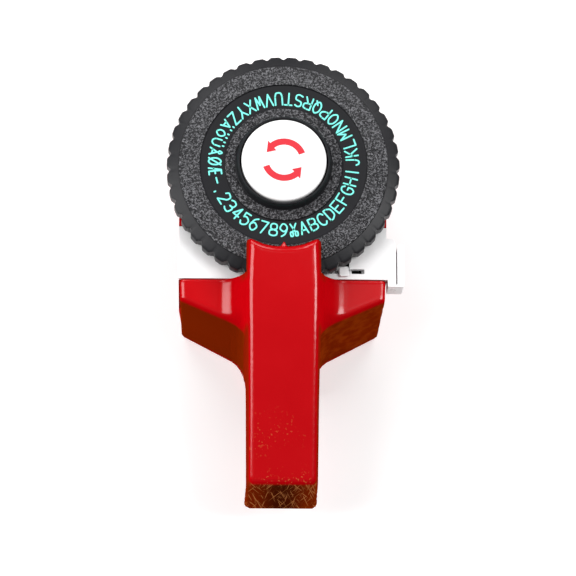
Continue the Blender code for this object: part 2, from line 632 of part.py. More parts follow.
# ---------------------------------------------------------------- tape path
def ratchet_outline(teeth, outer, inner):
    """Saw teeth round the feed shaft."""
    points = []
    for i in range(teeth):
        a = 2 * math.pi * i / teeth
        b = 2 * math.pi * (i + 0.85) / teeth
        points.append((FEED_X + outer * math.cos(a), FEED_Z + outer * math.sin(a)))
        points.append((FEED_X + inner * math.cos(b), FEED_Z + inner * math.sin(b)))
    return points


def feed_parts():
    """Feed roller, shaft and ratchet wheel, and the pressure roller above the tape."""
    place = (FEED_X, STATION_Y, FEED_Z)
    axis = joint_empty("feed_axis", place)
    centre = (FEED_X, FEED_Z)
    piece("feed_roller", tube(FEED_R, SHAFT_BORE_R, -31.0, -22.0, centre, "Y", 28), "rubber", parent=axis,
          origin=place, smooth=35)
    piece("feed_shaft", rod(SHAFT_R, -36.6, -19.8, centre, "Y", 16), "steel", parent=axis, origin=place,
          smooth=35)
    teeth = prism(ratchet_outline(12, 4.2, 3.2), -35.9, -34.5, "Y")
    wheel = piece("ratchet_wheel", teeth, "white", parent=axis, origin=place)
    shape(wheel, [piece("ratchet_bore", rod(SHAFT_BORE_R, -38.0, -32.0, centre, "Y", 16))])

    spot = (PRESS_X, press_height())
    place = (spot[0], STATION_Y, spot[1])
    presser = joint_empty("pressure_axis", place)
    piece("pressure_roller", tube(PRESS_R, 0.95, -30.9, -22.0, spot, "Y", 18), "white", parent=presser,
          origin=place, smooth=35)
    piece("pressure_pin", rod(0.6, -32.6, -20.4, spot, "Y", 10), "steel", origin=place, smooth=35)


def release_slider():
    """White slider under the deck whose knob stands through the slot beside the dial."""
    slider = piece("release_slider", box(14.5, 20.3, -31.9, -28.2, 32.7, DECK_Z - GAP), "white",
                   origin=(17.9, -30.3, DECK_Z))
    neck = piece("slider_neck", box(16.9, 18.9, -30.7, -29.9, 34.0, 36.8))
    knob = prism([(16.5, -31.7), (16.9, -32.0), (18.9, -32.0), (19.3, -31.7), (19.3, -29.4), (18.9, -29.0),
                  (16.9, -29.0), (16.5, -29.4)], DECK_Z + DECK_T + GAP, DIAL_Z - GAP)
    shape(slider, [neck, piece("slider_knob", knob)], "UNION")


def anvil():
    """Steel block over the die disc that the ram presses against."""
    piece("anvil", box(-7.0, 7.0, -31.4, -21.4, DIE_Z + DISC_T + GAP, DECK_Z - GAP), "steel",
          origin=(0, STATION_Y, DECK_Z))


def cutter():
    """Blade and its holder at the tape's way out."""
    holder = piece("blade_holder", box(CUT_X - 2.0, CUT_X + 2.0, -32.0, -21.6, 16.0, 24.0), "grey",
                   origin=(CUT_X, STATION_Y, 16.0))
    shape(holder, [piece("blade_slot", box(CUT_X - 0.6, CUT_X + 0.6, -34.0, -20.0, 19.7, 30.0))])
    edge = [(CUT_X - 0.3, 20.0), (CUT_X + 0.3, 20.0), (CUT_X + 0.3, 28.8), (CUT_X - 0.3, 29.7)]
    piece("cutter_blade", prism(edge, -31.4, -22.0, "Y"), "steel", origin=(CUT_X, STATION_Y, 20.0))


def tape_parts():
    """Reel, the roll of tape on it, and the strip that runs to the way out."""
    place = (REEL_X, REEL_Y, REEL_Z)
    axis = joint_empty("reel_axis", place)
    centre = (REEL_X, REEL_Y)
    piece("reel_hub", tube(5.7, 2.6, REEL_Z, 12.2, centre, sides=28), "white", parent=axis, origin=place,
          smooth=35)
    roll_low = REEL_Z + 0.2
    piece("tape_roll", tube(REEL_R, 6.0, roll_low, roll_low + TAPE_W, centre, sides=48), "tape", parent=axis,
          origin=place, smooth=35)
    piece("tape_strip", tape_strip(), "tape", smooth=40)


def tape_strip():
    """The tape leaves the roll on edge, twists flat as it climbs, and turns over the feed roller."""
    middle = REEL_Z + 0.2 + TAPE_W / 2
    wrap = FEED_R + GAP + TAPE_T / 2
    flat_z = FEED_Z + wrap
    climb_x = FEED_X + wrap
    route = [Vector((REEL_X + 3.0, REEL_Y - REEL_R - 0.8, middle)), Vector((12.0, -23.8, middle)),
             Vector((18.5, -26.2, middle + 1.4)), Vector((24.4, -26.6, middle + 7.0)),
             Vector((climb_x - 0.2, STATION_Y, 19.5)), Vector((climb_x, STATION_Y, FEED_Z))]
    per_leg = 4
    spots = []
    for i in range(len(route) - 1):
        before = route[max(i - 1, 0)]
        after = route[min(i + 2, len(route) - 1)]
        for k in range(per_leg):
            spots.append(catmull(before, route[i], route[i + 1], after, k / per_leg))
    for x, z in arc((FEED_X, FEED_Z), wrap, 0, 90, 6):
        spots.append(Vector((x, STATION_Y, z)))
    spots.append(Vector((0.0, STATION_Y, flat_z)))
    spots.append(Vector((CUT_X + 1.2, STATION_Y, flat_z)))

    twist_start, twist_end = 2, 4 * per_leg
    rings = []
    for i, spot in enumerate(spots):
        ahead = (spots[min(i + 1, len(spots) - 1)] - spots[max(i - 1, 0)]).normalized()
        turn = min(max((i - twist_start) / (twist_end - twist_start), 0.0), 1.0) * math.pi / 2
        turn = math.pi / 2 * (0.5 - 0.5 * math.cos(2 * turn))
        across = Vector((0, math.sin(turn), math.cos(turn)))
        across = (across - ahead * across.dot(ahead)).normalized()
        thick = ahead.cross(across) * TAPE_T / 2
        wide = across * TAPE_W / 2
        rings.append([spot - wide - thick, spot + wide - thick, spot + wide + thick, spot - wide + thick])
    return loft(rings)


def catmull(a, b, c, d, t):
    """A smooth point between b and c, guided by a and d."""
    square = (2 * a - 5 * b + 4 * c - d) * t * t
    cube = (3 * b - a - 3 * c + d) * t ** 3
    return 0.5 * (2 * b + (c - a) * t + square + cube)


def main():
    """Model every sub-part of the label maker."""
    clear_scene()
    handle_shell()
    front_housing()
    tape_deck()
    bottom_cover()
    chassis()
    dial_parts()
    trigger()
    springs()
    feed_parts()
    release_slider()
    anvil()
    cutter()
    tape_parts()


main()
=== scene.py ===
"""Looks of a hand-held embossing label maker: red handle, notched black dial and white tape deck.

Sizes are in millimetres in the classes below and become metres as each mesh is made. Places come from
the frame's nodes. Each class builds and dresses one sub-assembly.
"""

import json
import logging
import math
from dataclasses import dataclass
from enum import Enum
from typing import Any, Callable, Iterable, Sequence

import bmesh
import bpy
import numpy as np
from mathutils import Matrix, Vector


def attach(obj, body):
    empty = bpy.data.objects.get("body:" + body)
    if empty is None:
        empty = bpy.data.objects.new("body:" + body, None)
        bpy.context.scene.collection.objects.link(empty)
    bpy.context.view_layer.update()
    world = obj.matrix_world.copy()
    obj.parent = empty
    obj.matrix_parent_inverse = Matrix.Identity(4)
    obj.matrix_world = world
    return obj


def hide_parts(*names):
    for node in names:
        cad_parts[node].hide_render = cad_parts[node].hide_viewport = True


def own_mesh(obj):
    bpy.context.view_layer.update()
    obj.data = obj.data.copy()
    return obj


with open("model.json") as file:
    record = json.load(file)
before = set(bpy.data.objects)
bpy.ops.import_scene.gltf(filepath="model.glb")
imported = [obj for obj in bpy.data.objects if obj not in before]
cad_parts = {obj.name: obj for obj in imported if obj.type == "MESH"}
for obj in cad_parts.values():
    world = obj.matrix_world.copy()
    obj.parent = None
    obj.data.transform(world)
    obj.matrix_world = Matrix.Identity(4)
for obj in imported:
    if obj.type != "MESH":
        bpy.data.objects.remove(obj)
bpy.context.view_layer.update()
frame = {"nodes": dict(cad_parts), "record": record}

MM = 0.001
FAR = 9.0  # a distance in millimetres that never decides where a surface lies
LOG = logging.getLogger("label_maker")

Point = tuple[float, ...]
Field = Callable[[np.ndarray], np.ndarray]
Tree = bpy.types.NodeTree
Node = bpy.types.Node
Socket = bpy.types.NodeSocket


# ------------------------------------------------------------------------------ nodes and colours
def linear(hex_colour: str) -> tuple[float, float, float, float]:
    """Turn an sRGB hex colour into linear light.

    Args:
        hex_colour: six hex digits, such as "c8000c".

    Returns:
        Red, green, blue and an alpha of 1.
    """
    parts = [int(hex_colour[i:i + 2], 16) / 255 for i in (0, 2, 4)]
    light = [p / 12.92 if p <= 0.04045 else ((p + 0.055) / 1.055) ** 2.4 for p in parts]
    return (light[0], light[1], light[2], 1.0)


def add_node(tree: Tree, kind: str, inputs: dict[Any, Any] | None = None, **settings: Any) -> Node:
    """Add one node with its settings, values and links.

    Args:
        tree: the node tree that takes the node.
        kind: the node's Blender type.
        inputs: socket name or number to a value, or to the output socket that feeds it.
        settings: attributes of the node itself.

    Returns:
        The new node.
    """
    made = tree.nodes.new(kind)
    for name, value in settings.items():
        setattr(made, name, value)
    for key, value in (inputs or {}).items():
        socket = made.inputs[key]
        if isinstance(value, bpy.types.NodeSocket):
            tree.links.new(value, socket)
        else:
            socket.default_value = value
    return made


def math_node(tree: Tree, operation: str, *values: Any) -> Socket:
    """Add a Math node and return its result.

    Args:
        tree: the node tree.
        operation: Blender's name of the operation.
        values: numbers or sockets, in order.

    Returns:
        The node's output socket.
    """
    return add_node(tree, "ShaderNodeMath", dict(enumerate(values)), operation=operation).outputs[0]


def ramp(tree: Tree, value: Socket, low: float, high: float) -> Socket:
    """Rise smoothly from 0 at `low` to 1 at `high`, or fall if `high` is the smaller.

    Args:
        tree: the node tree.
        value: the socket to read.
        low: the value that gives 0.
        high: the value that gives 1.

    Returns:
        The socket of the 0 to 1 result.
    """
    made = add_node(tree, "ShaderNodeMapRange", {0: value, 1: low, 2: high, 3: 0.0, 4: 1.0},
                    interpolation_type="SMOOTHSTEP")
    return made.outputs[0]


def mix(tree: Tree, share: Socket, low: Any, high: Any) -> Socket:
    """Blend two colours.

    Args:
        tree: the node tree.
        share: 0 gives the first colour and 1 the second.
        low: the first colour, as a value or a socket.
        high: the second colour.

    Returns:
        The socket of the blended colour.
    """
    return add_node(tree, "ShaderNodeMix", {0: share, 6: low, 7: high}, data_type="RGBA").outputs[2]


def axes_of(tree: Tree, vector: Socket) -> tuple[Socket, Socket, Socket]:
    """Split a vector socket into its x, y and z sockets."""
    outputs = add_node(tree, "ShaderNodeSeparateXYZ", {0: vector}).outputs
    return outputs[0], outputs[1], outputs[2]


def distance_from_axis(tree: Tree, place: Socket) -> Socket:
    """Distance of a place from the upright axis through the dial's middle.

    Args:
        tree: the node tree.
        place: the place's vector socket.

    Returns:
        The socket of the distance.
    """
    x, y, _ = axes_of(tree, place)
    flat = add_node(tree, "ShaderNodeCombineXYZ", {0: x, 1: y}).outputs[0]
    return add_node(tree, "ShaderNodeVectorMath", {0: flat}, operation="LENGTH").outputs[1]


# ------------------------------------------------------------------------------ finishes
@dataclass(frozen=True)
class Finish:
    """A material: what it is made of, its colour and how its surface was made."""

    name: str
    colour: str
    roughness: float = 0.4
    metallic: float = 0.0
    coat: float = 0.0

    def make(self) -> bpy.types.Material:
        """Build the material, or find it if it was built before.

        Returns:
            The material.
        """
        ready = bpy.data.materials.get(self.name)
        if ready is not None:
            return ready
        made = bpy.data.materials.new(self.name)
        made.use_nodes = True
        tree = made.node_tree
        shader = tree.nodes["Principled BSDF"]
        shader.inputs["Base Color"].default_value = linear(self.colour)
        shader.inputs["Roughness"].default_value = self.roughness
        shader.inputs["Metallic"].default_value = self.metallic
        shader.inputs["Coat Weight"].default_value = self.coat
        self.detail(tree, shader, add_node(tree, "ShaderNodeTexCoord").outputs["Object"])
        return made

    def detail(self, tree: Tree, shader: Node, place: Socket) -> None:
        """Add faint mottling and the slight waviness that moulding leaves.

        Args:
            tree: the material's node tree.
            shader: its Principled shader.
            place: object coordinates, in metres.
        """
        mottle = self.noise(tree, place, 6.0, 3.0)
        self.tint(tree, shader, mottle, 0.06)
        self.roughen(tree, shader, mottle, 0.05)
        self.bump(tree, shader, self.noise(tree, place, 2.5, 2.0), 0.02)

    def noise(self, tree: Tree, place: Socket, size_mm: float, detail: float) -> Socket:
        """Add cloudy noise.

        Args:
            tree: the material's node tree.
            place: the coordinates it follows.
            size_mm: how large its blobs are.
            detail: how many finer layers it has.

        Returns:
            The socket of the 0 to 1 result.
        """
        inputs = {"Vector": place, "Scale": 1 / (size_mm * MM), "Detail": detail}
        return add_node(tree, "ShaderNodeTexNoise", inputs).outputs[0]

    def tint(self, tree: Tree, shader: Node, value: Socket, amount: float) -> None:
        """Let a value darken and lighten the colour.

        Args:
            tree: the material's node tree.
            shader: its Principled shader.
            value: 0 for the darkest and 1 for the lightest places.
            amount: the share by which the colour changes each way.
        """
        colour = linear(self.colour)
        dark = tuple(c * (1 - amount) for c in colour[:3]) + (1.0,)
        light = tuple(min(1.0, c * (1 + amount)) for c in colour[:3]) + (1.0,)
        tree.links.new(mix(tree, value, dark, light), shader.inputs["Base Color"])

    def roughen(self, tree: Tree, shader: Node, value: Socket, amount: float) -> None:
        """Let a value change the roughness.

        Args:
            tree: the material's node tree.
            shader: its Principled shader.
            value: 0 for the glossiest and 1 for the dullest places.
            amount: the roughness between the two.
        """
        total = math_node(tree, "MULTIPLY_ADD", value, amount, self.roughness - amount / 2)
        tree.links.new(total, shader.inputs["Roughness"])

    def bump(self, tree: Tree, shader: Node, height: Socket, depth_mm: float) -> None:
        """Make the surface look raised.

        Args:
            tree: the material's node tree.
            shader: its Principled shader.
            height: how far each place stands out, 1 for the highest.
            depth_mm: what a height of 1 stands for.
        """
        inputs = {"Height": height, "Strength": 1.0, "Distance": depth_mm * MM}
        made = add_node(tree, "ShaderNodeBump", inputs)
        tree.links.new(made.outputs[0], shader.inputs["Normal"])


@dataclass(frozen=True)
class GlossRedABS(Finish):
    """Injection-moulded gloss ABS: mirror-like tops, duller spark-erosion textured walls with painted shade,
    hand wear.

    The rear walls and the heel below the handle's end are painted brown shade, darkest in the heel's middle,
    and the flanks a darker red painted shade. Places along y and z are in millimetres.
    """

    # Painted shade: the brown of the rear walls with its lighter flecks, the darker red of the flanks and the
    # dark brown of the heel's middle.
    wall_shade_colour: str = "7c2202"
    wall_shade_fleck: str = "8e3206"
    flank_shade_colour: str = "861a05"
    heel_shade_colour: str = "4a1503"
    scratch_colour: str = "d88a50"
    wall_matt: float = 1.0
    wear_start: float = -62.0
    wear_full: float = -92.0
    heel_start: float = -92.2
    heel_full: float = -93.4
    scratch_angles: tuple[float, ...] = (0.75, -0.8, 0.3, -0.45)

    def detail(self, tree: Tree, shader: Node, place: Socket) -> None:
        """Paint shade onto the side walls as darker colour, make them duller, and thicken the scratches
        towards the heel.

        Args:
            tree: the material's node tree.
            shader: its Principled shader.
            place: object coordinates, in metres.
        """
        # The wall mask marks the steep faces outside the hollow by the spine; they get painted shade, more
        # roughness and a fine bump.
        normal = add_node(tree, "ShaderNodeNewGeometry").outputs["Normal"]
        _, facing_y, facing_z = axes_of(tree, normal)
        steep = math_node(tree, "ABSOLUTE", facing_z)
        rear = ramp(tree, facing_y, -0.05, -0.45)
        open_wall = math_node(tree, "SUBTRACT", 1.0, ramp(tree, steep, 0.15, 0.62))
        in_open = math_node(tree, "SUBTRACT", 1.0, self.saddle(tree, place))
        wall = math_node(tree, "MULTIPLY", open_wall, in_open)
        mark = self.marks(tree, place, wall)
        self.colours(tree, shader, place, wall, rear, mark)

        matt = math_node(tree, "SUBTRACT", 1.0, ramp(tree, steep, 0.7, 0.88))
        matt = math_node(tree, "MULTIPLY", matt, math_node(tree, "MAXIMUM", rear, self.wall_matt))
        dull = math_node(tree, "MULTIPLY_ADD", wall, 0.24, self.roughness)
        dull = math_node(tree, "MULTIPLY_ADD", mark, 0.2, dull)
        shine = math_node(tree, "MULTIPLY_ADD", matt, -0.5, 0.5)
        coat = math_node(tree, "MULTIPLY_ADD", matt, -self.coat, self.coat)
        for label, value in (("Roughness", dull), ("Specular IOR Level", shine), ("Coat Weight", coat)):
            tree.links.new(value, shader.inputs[label])

        erosion = math_node(tree, "MULTIPLY", self.noise(tree, place, 0.35, 3.0), wall)
        height = math_node(tree, "MULTIPLY_ADD", erosion, 0.5, self.noise(tree, place, 7.0, 1.0))
        height = math_node(tree, "SUBTRACT", height, math_node(tree, "MULTIPLY", mark, 0.6))
        self.bump(tree, shader, height, 0.03)

    def saddle(self, tree: Tree, place: Socket) -> Socket:
        """Mark the hollow between a wing and the spine, which gets no painted wall shade and stays as glossy
        and red as the tops.

        Args:
            tree: the material's node tree.
            place: object coordinates.

        Returns:
            The socket of a mask, 1 in the hollow.
        """
        _, y, z = axes_of(tree, place)
        above = ramp(tree, z, 33.0 * MM, 35.5 * MM)
        before = ramp(tree, y, -50.5 * MM, -47.0 * MM)
        behind = ramp(tree, y, -33.5 * MM, -36.0 * MM)
        return math_node(tree, "MULTIPLY", math_node(tree, "MULTIPLY", above, before), behind)

    def heel(self, tree: Tree, place: Socket, wall: Socket) -> Socket:
        """Mark the wall at the handle's very end.

        Args:
            tree: the material's node tree.
            place: object coordinates.
            wall: mask of the side walls.

        Returns:
            The socket of a mask, 1 on the heel.
        """
        y = axes_of(tree, place)[1]
        return math_node(tree, "MULTIPLY", ramp(tree, y, self.heel_start * MM, self.heel_full * MM), wall)

    def marks(self, tree: Tree, place: Socket, wall: Socket) -> Socket:
        """Join the heel's scratches and the handle's dust.

        Args:
            tree: the material's node tree.
            place: object coordinates.
            wall: mask of the side walls.

        Returns:
            The socket of how marked each place is.
        """
        y = axes_of(tree, place)[1]
        worn = ramp(tree, y, self.wear_start * MM, self.wear_full * MM)
        dust = math_node(tree, "MULTIPLY", self.specks(tree, place), math_node(tree, "MULTIPLY", worn, 0.3))
        scratched = math_node(tree, "MULTIPLY", self.scratches(tree, place), self.heel(tree, place, wall))
        return math_node(tree, "MAXIMUM", scratched, dust)

    def colours(self, tree: Tree, shader: Node, place: Socket, wall: Socket, rear: Socket,
                mark: Socket) -> None:
        """Lay the red tops, the painted shade on the walls and in the heel's middle, and the scratches and
        dust over each other.

        Args:
            tree: the material's node tree.
            shader: its Principled shader.
            place: object coordinates.
            wall: mask of the side walls, which get painted shade.
            rear: mask of what faces the handle's end, which gets brown painted shade where the flanks get
                dark red.
            mark: mask of the scratches and dust.
        """
        x = axes_of(tree, place)[0]
        base = linear(self.colour)
        light = tuple(min(1.0, c * 1.1 + 0.002) for c in base[:3]) + (1.0,)
        tops = mix(tree, self.noise(tree, place, 9.0, 4.0), base, light)
        # Painted shade on the walls: brown with lighter flecks where they face the handle's end, dark red on
        # the flanks.
        fleck = math_node(tree, "MULTIPLY", ramp(tree, self.noise(tree, place, 3.2, 6.0), 0.4, 0.68),
                          ramp(tree, x, -14.0 * MM, 18.0 * MM))
        rear_wall_shade = mix(tree, fleck, linear(self.wall_shade_colour), linear(self.wall_shade_fleck))
        walls = mix(tree, rear, linear(self.flank_shade_colour), rear_wall_shade)
        # Painted shade: the heel turns darker brown towards its middle.
        off_centre = math_node(tree, "ABSOLUTE", x)
        middle = math_node(tree, "MULTIPLY", self.heel(tree, place, wall),
                           ramp(tree, off_centre, 9.0 * MM, 1.0 * MM))
        wall_and_heel_shade = mix(tree, middle, walls, linear(self.heel_shade_colour))
        marked = mix(tree, mark, mix(tree, wall, tops, wall_and_heel_shade), linear(self.scratch_colour))
        tree.links.new(marked, shader.inputs["Base Color"])

    def scratches(self, tree: Tree, place: Socket) -> Socket:
        """Draw thin crossing scratches, 0.2 mm wide and several millimetres long.

        Args:
            tree: the material's node tree.
            place: object coordinates.

        Returns:
            The socket of how deep each place is scratched.
        """
        x, y, z = axes_of(tree, place)
        along = math_node(tree, "MULTIPLY_ADD", z, 0.3, y)
        flat = add_node(tree, "ShaderNodeCombineXYZ", {0: x, 1: along}).outputs[0]
        across, length = 1 / (0.3 * MM), 1 / (4.5 * MM)
        lines = []
        for angle in self.scratch_angles:
            turn = add_node(tree, "ShaderNodeMapping", {"Vector": flat, "Rotation": (0.0, 0.0, angle)})
            stretch = add_node(tree, "ShaderNodeMapping",
                               {"Vector": turn.outputs[0], "Location": (angle, angle, angle),
                                "Scale": (across, length, 1.0)})
            line = add_node(tree, "ShaderNodeTexNoise",
                            {"Vector": stretch.outputs[0], "Scale": 1.0, "Detail": 0.0}).outputs[0]
            lines.append(math_node(tree, "MULTIPLY", ramp(tree, line, 0.69, 0.77), 0.6))
        total = lines[0]
        for line in lines[1:]:
            total = math_node(tree, "MAXIMUM", total, line)
        return total

    def specks(self, tree: Tree, place: Socket) -> Socket:
        """Scatter dust specks about 0.3 mm across, in patches.

        Args:
            tree: the material's node tree.
            place: object coordinates.

        Returns:
            The socket of a mask, 1 on a speck.
        """
        fine = self.noise(tree, place, 0.7, 1.0)
        patch = self.noise(tree, place, 8.0, 2.0)
        return math_node(tree, "MULTIPLY", ramp(tree, fine, 0.62, 0.7), ramp(tree, patch, 0.45, 0.65))


@dataclass(frozen=True)
class GrainedBlack(Finish):
    """Black moulded plastic: coarse sparkling grain in two rings, its highest lumps lightened as painted
    glints; smooth rim, letter ring and cup.

    The radii are the rings' borders and the level is the height above which there is grain, in
    millimetres.
    """

    # Painted glints: the grain's highest lumps are lightened towards this grey.
    peak_glint_colour: str = "86868a"
    rim_inner: float = 30.8
    letters_outer: float = 24.5
    letters_inner: float = 17.3
    boss: float = 14.2
    grain_level: float = 41.0
    grain_mm: float = 0.62

    def ring(self, tree: Tree, radius: Socket, inner: float, outer: float) -> Socket:
        """Mark a ring with soft borders.

        Args:
            tree: the material's node tree.
            radius: the distance from the dial's axis.
            inner: its inner radius, in millimetres.
            outer: its outer radius.

        Returns:
            The socket of a mask, 1 in the ring.
        """
        border = 0.2
        return math_node(tree, "MULTIPLY", ramp(tree, radius, inner * MM, (inner + border) * MM),
                         ramp(tree, radius, outer * MM, (outer - border) * MM))

    def detail(self, tree: Tree, shader: Node, place: Socket) -> None:
        """Grain, with painted glints on its highest lumps, only where the mould was textured by spark
        erosion, and a soft satin elsewhere.

        Args:
            tree: the material's node tree.
            shader: its Principled shader.
            place: object coordinates, in metres.
        """
        radius = distance_from_axis(tree, place)
        rings = math_node(tree, "MAXIMUM", self.ring(tree, radius, self.letters_outer, self.rim_inner),
                          self.ring(tree, radius, self.boss, self.letters_inner))
        level = axes_of(tree, place)[2]
        top = ramp(tree, level, self.grain_level * MM, (self.grain_level + 0.6) * MM)
        grained = math_node(tree, "MULTIPLY", rings, top)

        coarse = self.noise(tree, place, self.grain_mm, 2.0)
        fine = self.noise(tree, place, self.grain_mm * 0.5, 2.0)
        lumps = math_node(tree, "MULTIPLY_ADD", fine, 0.6, coarse)
        height = math_node(tree, "MULTIPLY", lumps, grained)
        soft = math_node(tree, "MULTIPLY", self.noise(tree, place, 1.6, 2.0), 0.02)
        self.bump(tree, shader, math_node(tree, "ADD", height, soft), 0.9)

        # Painted glints: the grain's highest lumps are lightened towards a pale grey.
        peak_glint = math_node(tree, "MULTIPLY", ramp(tree, lumps, 0.72, 1.02), grained)
        pale = mix(tree, peak_glint, linear(self.colour), linear(self.peak_glint_colour))
        tree.links.new(pale, shader.inputs["Base Color"])
        rough = math_node(tree, "MULTIPLY_ADD", grained, -0.08, self.roughness)
        tree.links.new(rough, shader.inputs["Roughness"])
        shine = math_node(tree, "MULTIPLY_ADD", grained, 0.25, 0.25)
        tree.links.new(shine, shader.inputs["Specular IOR Level"])


@dataclass(frozen=True)
class BrushedSteel(Finish):
    """Turned or drawn steel, with fine lines round its axis."""

    metallic: float = 1.0

    def detail(self, tree: Tree, shader: Node, place: Socket) -> None:
        """Streaks 0.2 mm wide change the gloss, and a faint grey cloud breaks the colour.

        Args:
            tree: the material's node tree.
            shader: its Principled shader.
            place: object coordinates, in metres.
        """
        stretch = add_node(tree, "ShaderNodeMapping",
                           {"Vector": place, "Scale": (1 / (4 * MM), 1 / (4 * MM), 1 / (0.2 * MM))})
        streak = add_node(tree, "ShaderNodeTexNoise",
                          {"Vector": stretch.outputs[0], "Scale": 1.0, "Detail": 2.0}).outputs[0]
        self.roughen(tree, shader, streak, 0.2)
        self.tint(tree, shader, self.noise(tree, place, 3.0, 2.0), 0.12)
        self.bump(tree, shader, streak, 0.01)


@dataclass(frozen=True)
class WoundTape(Finish):
    """Glossy vinyl tape; on the roll its edges show as fine rings."""

    centre: tuple[float, float] = (4.0, -5.0)
    layer_mm: float = 0.4

    def detail(self, tree: Tree, shader: Node, place: Socket) -> None:
        """Rings round the roll's centre, at twice the real thickness so that they show.

        Args:
            tree: the material's node tree.
            shader: its Principled shader.
            place: object coordinates, in metres.
        """
        local = add_node(tree, "ShaderNodeMapping",
                         {"Vector": place, "Location": (-self.centre[0] * MM, -self.centre[1] * MM, 0.0)})
        radius = distance_from_axis(tree, local.outputs[0])
        turns = math_node(tree, "MULTIPLY", radius, 2 * math.pi / (self.layer_mm * MM))
        ring = math_node(tree, "MULTIPLY_ADD", math_node(tree, "SINE", turns), 0.5, 0.5)
        self.tint(tree, shader, ring, 0.25)
        self.roughen(tree, shader, ring, 0.12)
        self.bump(tree, shader, ring, 0.03)


@dataclass(frozen=True)
class LightTable(Finish):
    """Frosted white acrylic lit a little from below, which keeps shadows faint."""

    glow: float = 0.42

    def detail(self, tree: Tree, shader: Node, place: Socket) -> None:
        """Even glow with very faint frosting.

        Args:
            tree: the material's node tree.
            shader: its Principled shader.
            place: object coordinates, in metres.
        """
        self.tint(tree, shader, self.noise(tree, place, 40.0, 2.0), 0.01)
        shader.inputs["Specular IOR Level"].default_value = 0.1
        shader.inputs["Emission Color"].default_value = linear(self.colour)
        shader.inputs["Emission Strength"].default_value = self.glow


# Polished mould: sharp highlights on the tops and edges, brown painted shade on the rear walls, scratched
# heel.
RED = GlossRedABS("gloss_red_abs", "b80009", roughness=0.17, coat=0.15)
# The same plastic from a duller mould: the housings' and lever's walls get painted shade in a dark satin red.
BODY_RED = GlossRedABS("satin_red_abs", "b80009", roughness=0.2, coat=0.1, wall_shade_colour="a00a08",
                       wall_shade_fleck="ae1408", flank_shade_colour="960e06", wall_matt=0.85)
# Mould textured by spark erosion: the grain sparkles, its highest lumps lightened as painted glints, while
# the rim and letter ring stay smooth and dark.
BLACK = GrainedBlack("grained_black_abs", "1e1e21", roughness=0.4)
# Plain mould: a clean white with a soft sheen.
WHITE = Finish("moulded_white_abs", "fdfcfd", roughness=0.28)
# Polished mould under a clear coat: the brightest white, with a glossy rim.
CAP_WHITE = Finish("polished_white_abs", "fbfbfb", roughness=0.2, coat=0.3)
# Pad-printed inks: flat, even colour with slightly dull strokes.
MINT = Finish("pad_printed_mint_ink", "7df5e6", roughness=0.45)
PRINT_RED = Finish("pad_printed_red_ink", "d9303c", roughness=0.35)
# Unpainted acetal and nylon: waxy greys.
GREY = Finish("moulded_grey_acetal", "8f9194", roughness=0.42)
DARK_GREY = Finish("moulded_dark_nylon", "55575b", roughness=0.48)
# Turned pins and drawn wire: fine streaks that stretch the highlights.
STEEL = BrushedSteel("turned_steel", "b9bbc0", roughness=0.3)
SPRING = BrushedSteel("drawn_spring_wire", "9a9ca2", roughness=0.34)
# Ground rubber: black with almost no shine.
RUBBER = Finish("ground_black_rubber", "1c1c1d", roughness=0.8)
# Calendered vinyl: glossy black, ringed at the roll's sides.
TAPE = WoundTape("embossing_tape_vinyl", "1b1b1e", roughness=0.25)
FLOOR = LightTable("pale_light_table", "ececec", roughness=0.9)


# ------------------------------------------------------------------------------ mesh helpers
class Shading(Enum):
    """How a piece's faces are shaded."""

    SMOOTH = 180.0
    EDGED = 35.0
    FLAT = 0.0


def finish_piece(name: str, mesh: bpy.types.Mesh, finish: Finish,
                 shading: Shading = Shading.EDGED) -> bpy.types.Object:
    """Turn a mesh in metres into a dressed object at the origin.

    Args:
        name: the piece's name.
        mesh: its mesh, already in place.
        finish: the material it wears.
        shading: how its edges are shaded.

    Returns:
        The object.
    """
    mesh.materials.clear()
    mesh.materials.append(finish.make())
    if shading is Shading.FLAT:
        mesh.shade_flat()
    else:
        mesh.shade_smooth()
        if shading is Shading.EDGED:
            mesh.set_sharp_from_angle(angle=math.radians(shading.value))
    made = bpy.data.objects.new(name, mesh)
    bpy.context.scene.collection.objects.link(made)
    return made


def mesh_from(name: str, points: Iterable[Sequence[float]], faces: Iterable[Sequence[int]]) -> bpy.types.Mesh:
    """Make a mesh from points in millimetres.

    Args:
        name: the mesh's name.
        points: its corners, in millimetres.
        faces: corner numbers of each face.

    Returns:
        The mesh, in metres, with its faces pointing out.
    """
    mesh = bpy.data.meshes.new(name)
    mesh.from_pydata([[c * MM for c in p] for p in points], [], [list(f) for f in faces])
    bm = bmesh.new()
    bm.from_mesh(mesh)
    bmesh.ops.remove_doubles(bm, verts=bm.verts, dist=1e-7)
    bmesh.ops.recalc_face_normals(bm, faces=bm.faces)
    bm.to_mesh(mesh)
    bm.free()
    return mesh


def merged_mesh(name: str, parts: Iterable[bpy.types.Mesh]) -> bpy.types.Mesh:
    """Join meshes into one.

    Args:
        name: the new mesh's name.
        parts: the meshes, already in place.

    Returns:
        The joined mesh.
    """
    bm = bmesh.new()
    for part in parts:
        bm.from_mesh(part)
    mesh = bpy.data.meshes.new(name)
    bm.to_mesh(mesh)
    bm.free()
    return mesh


def turned(name: str, profile: Sequence[Point], sides: int) -> bpy.types.Mesh:
    """Turn a closed (radius, height) profile round the dial's axis.

    Args:
        name: the mesh's name.
        profile: the section's corners, in order round it; a radius of 0 closes at the axis.
        sides: how many steps round.

    Returns:
        The closed mesh.
    """
    points: list[Point] = []
    faces: list[tuple[int, ...]] = []
    rows = len(profile)
    for i in range(sides):
        angle = 2 * math.pi * i / sides
        points += [(radius * math.cos(angle), radius * math.sin(angle), height) for radius, height in profile]
        n = (i + 1) % sides
        for k in range(rows):
            j = (k + 1) % rows
            faces.append((i * rows + k, n * rows + k, n * rows + j, i * rows + j))
    return mesh_from(name, points, faces)


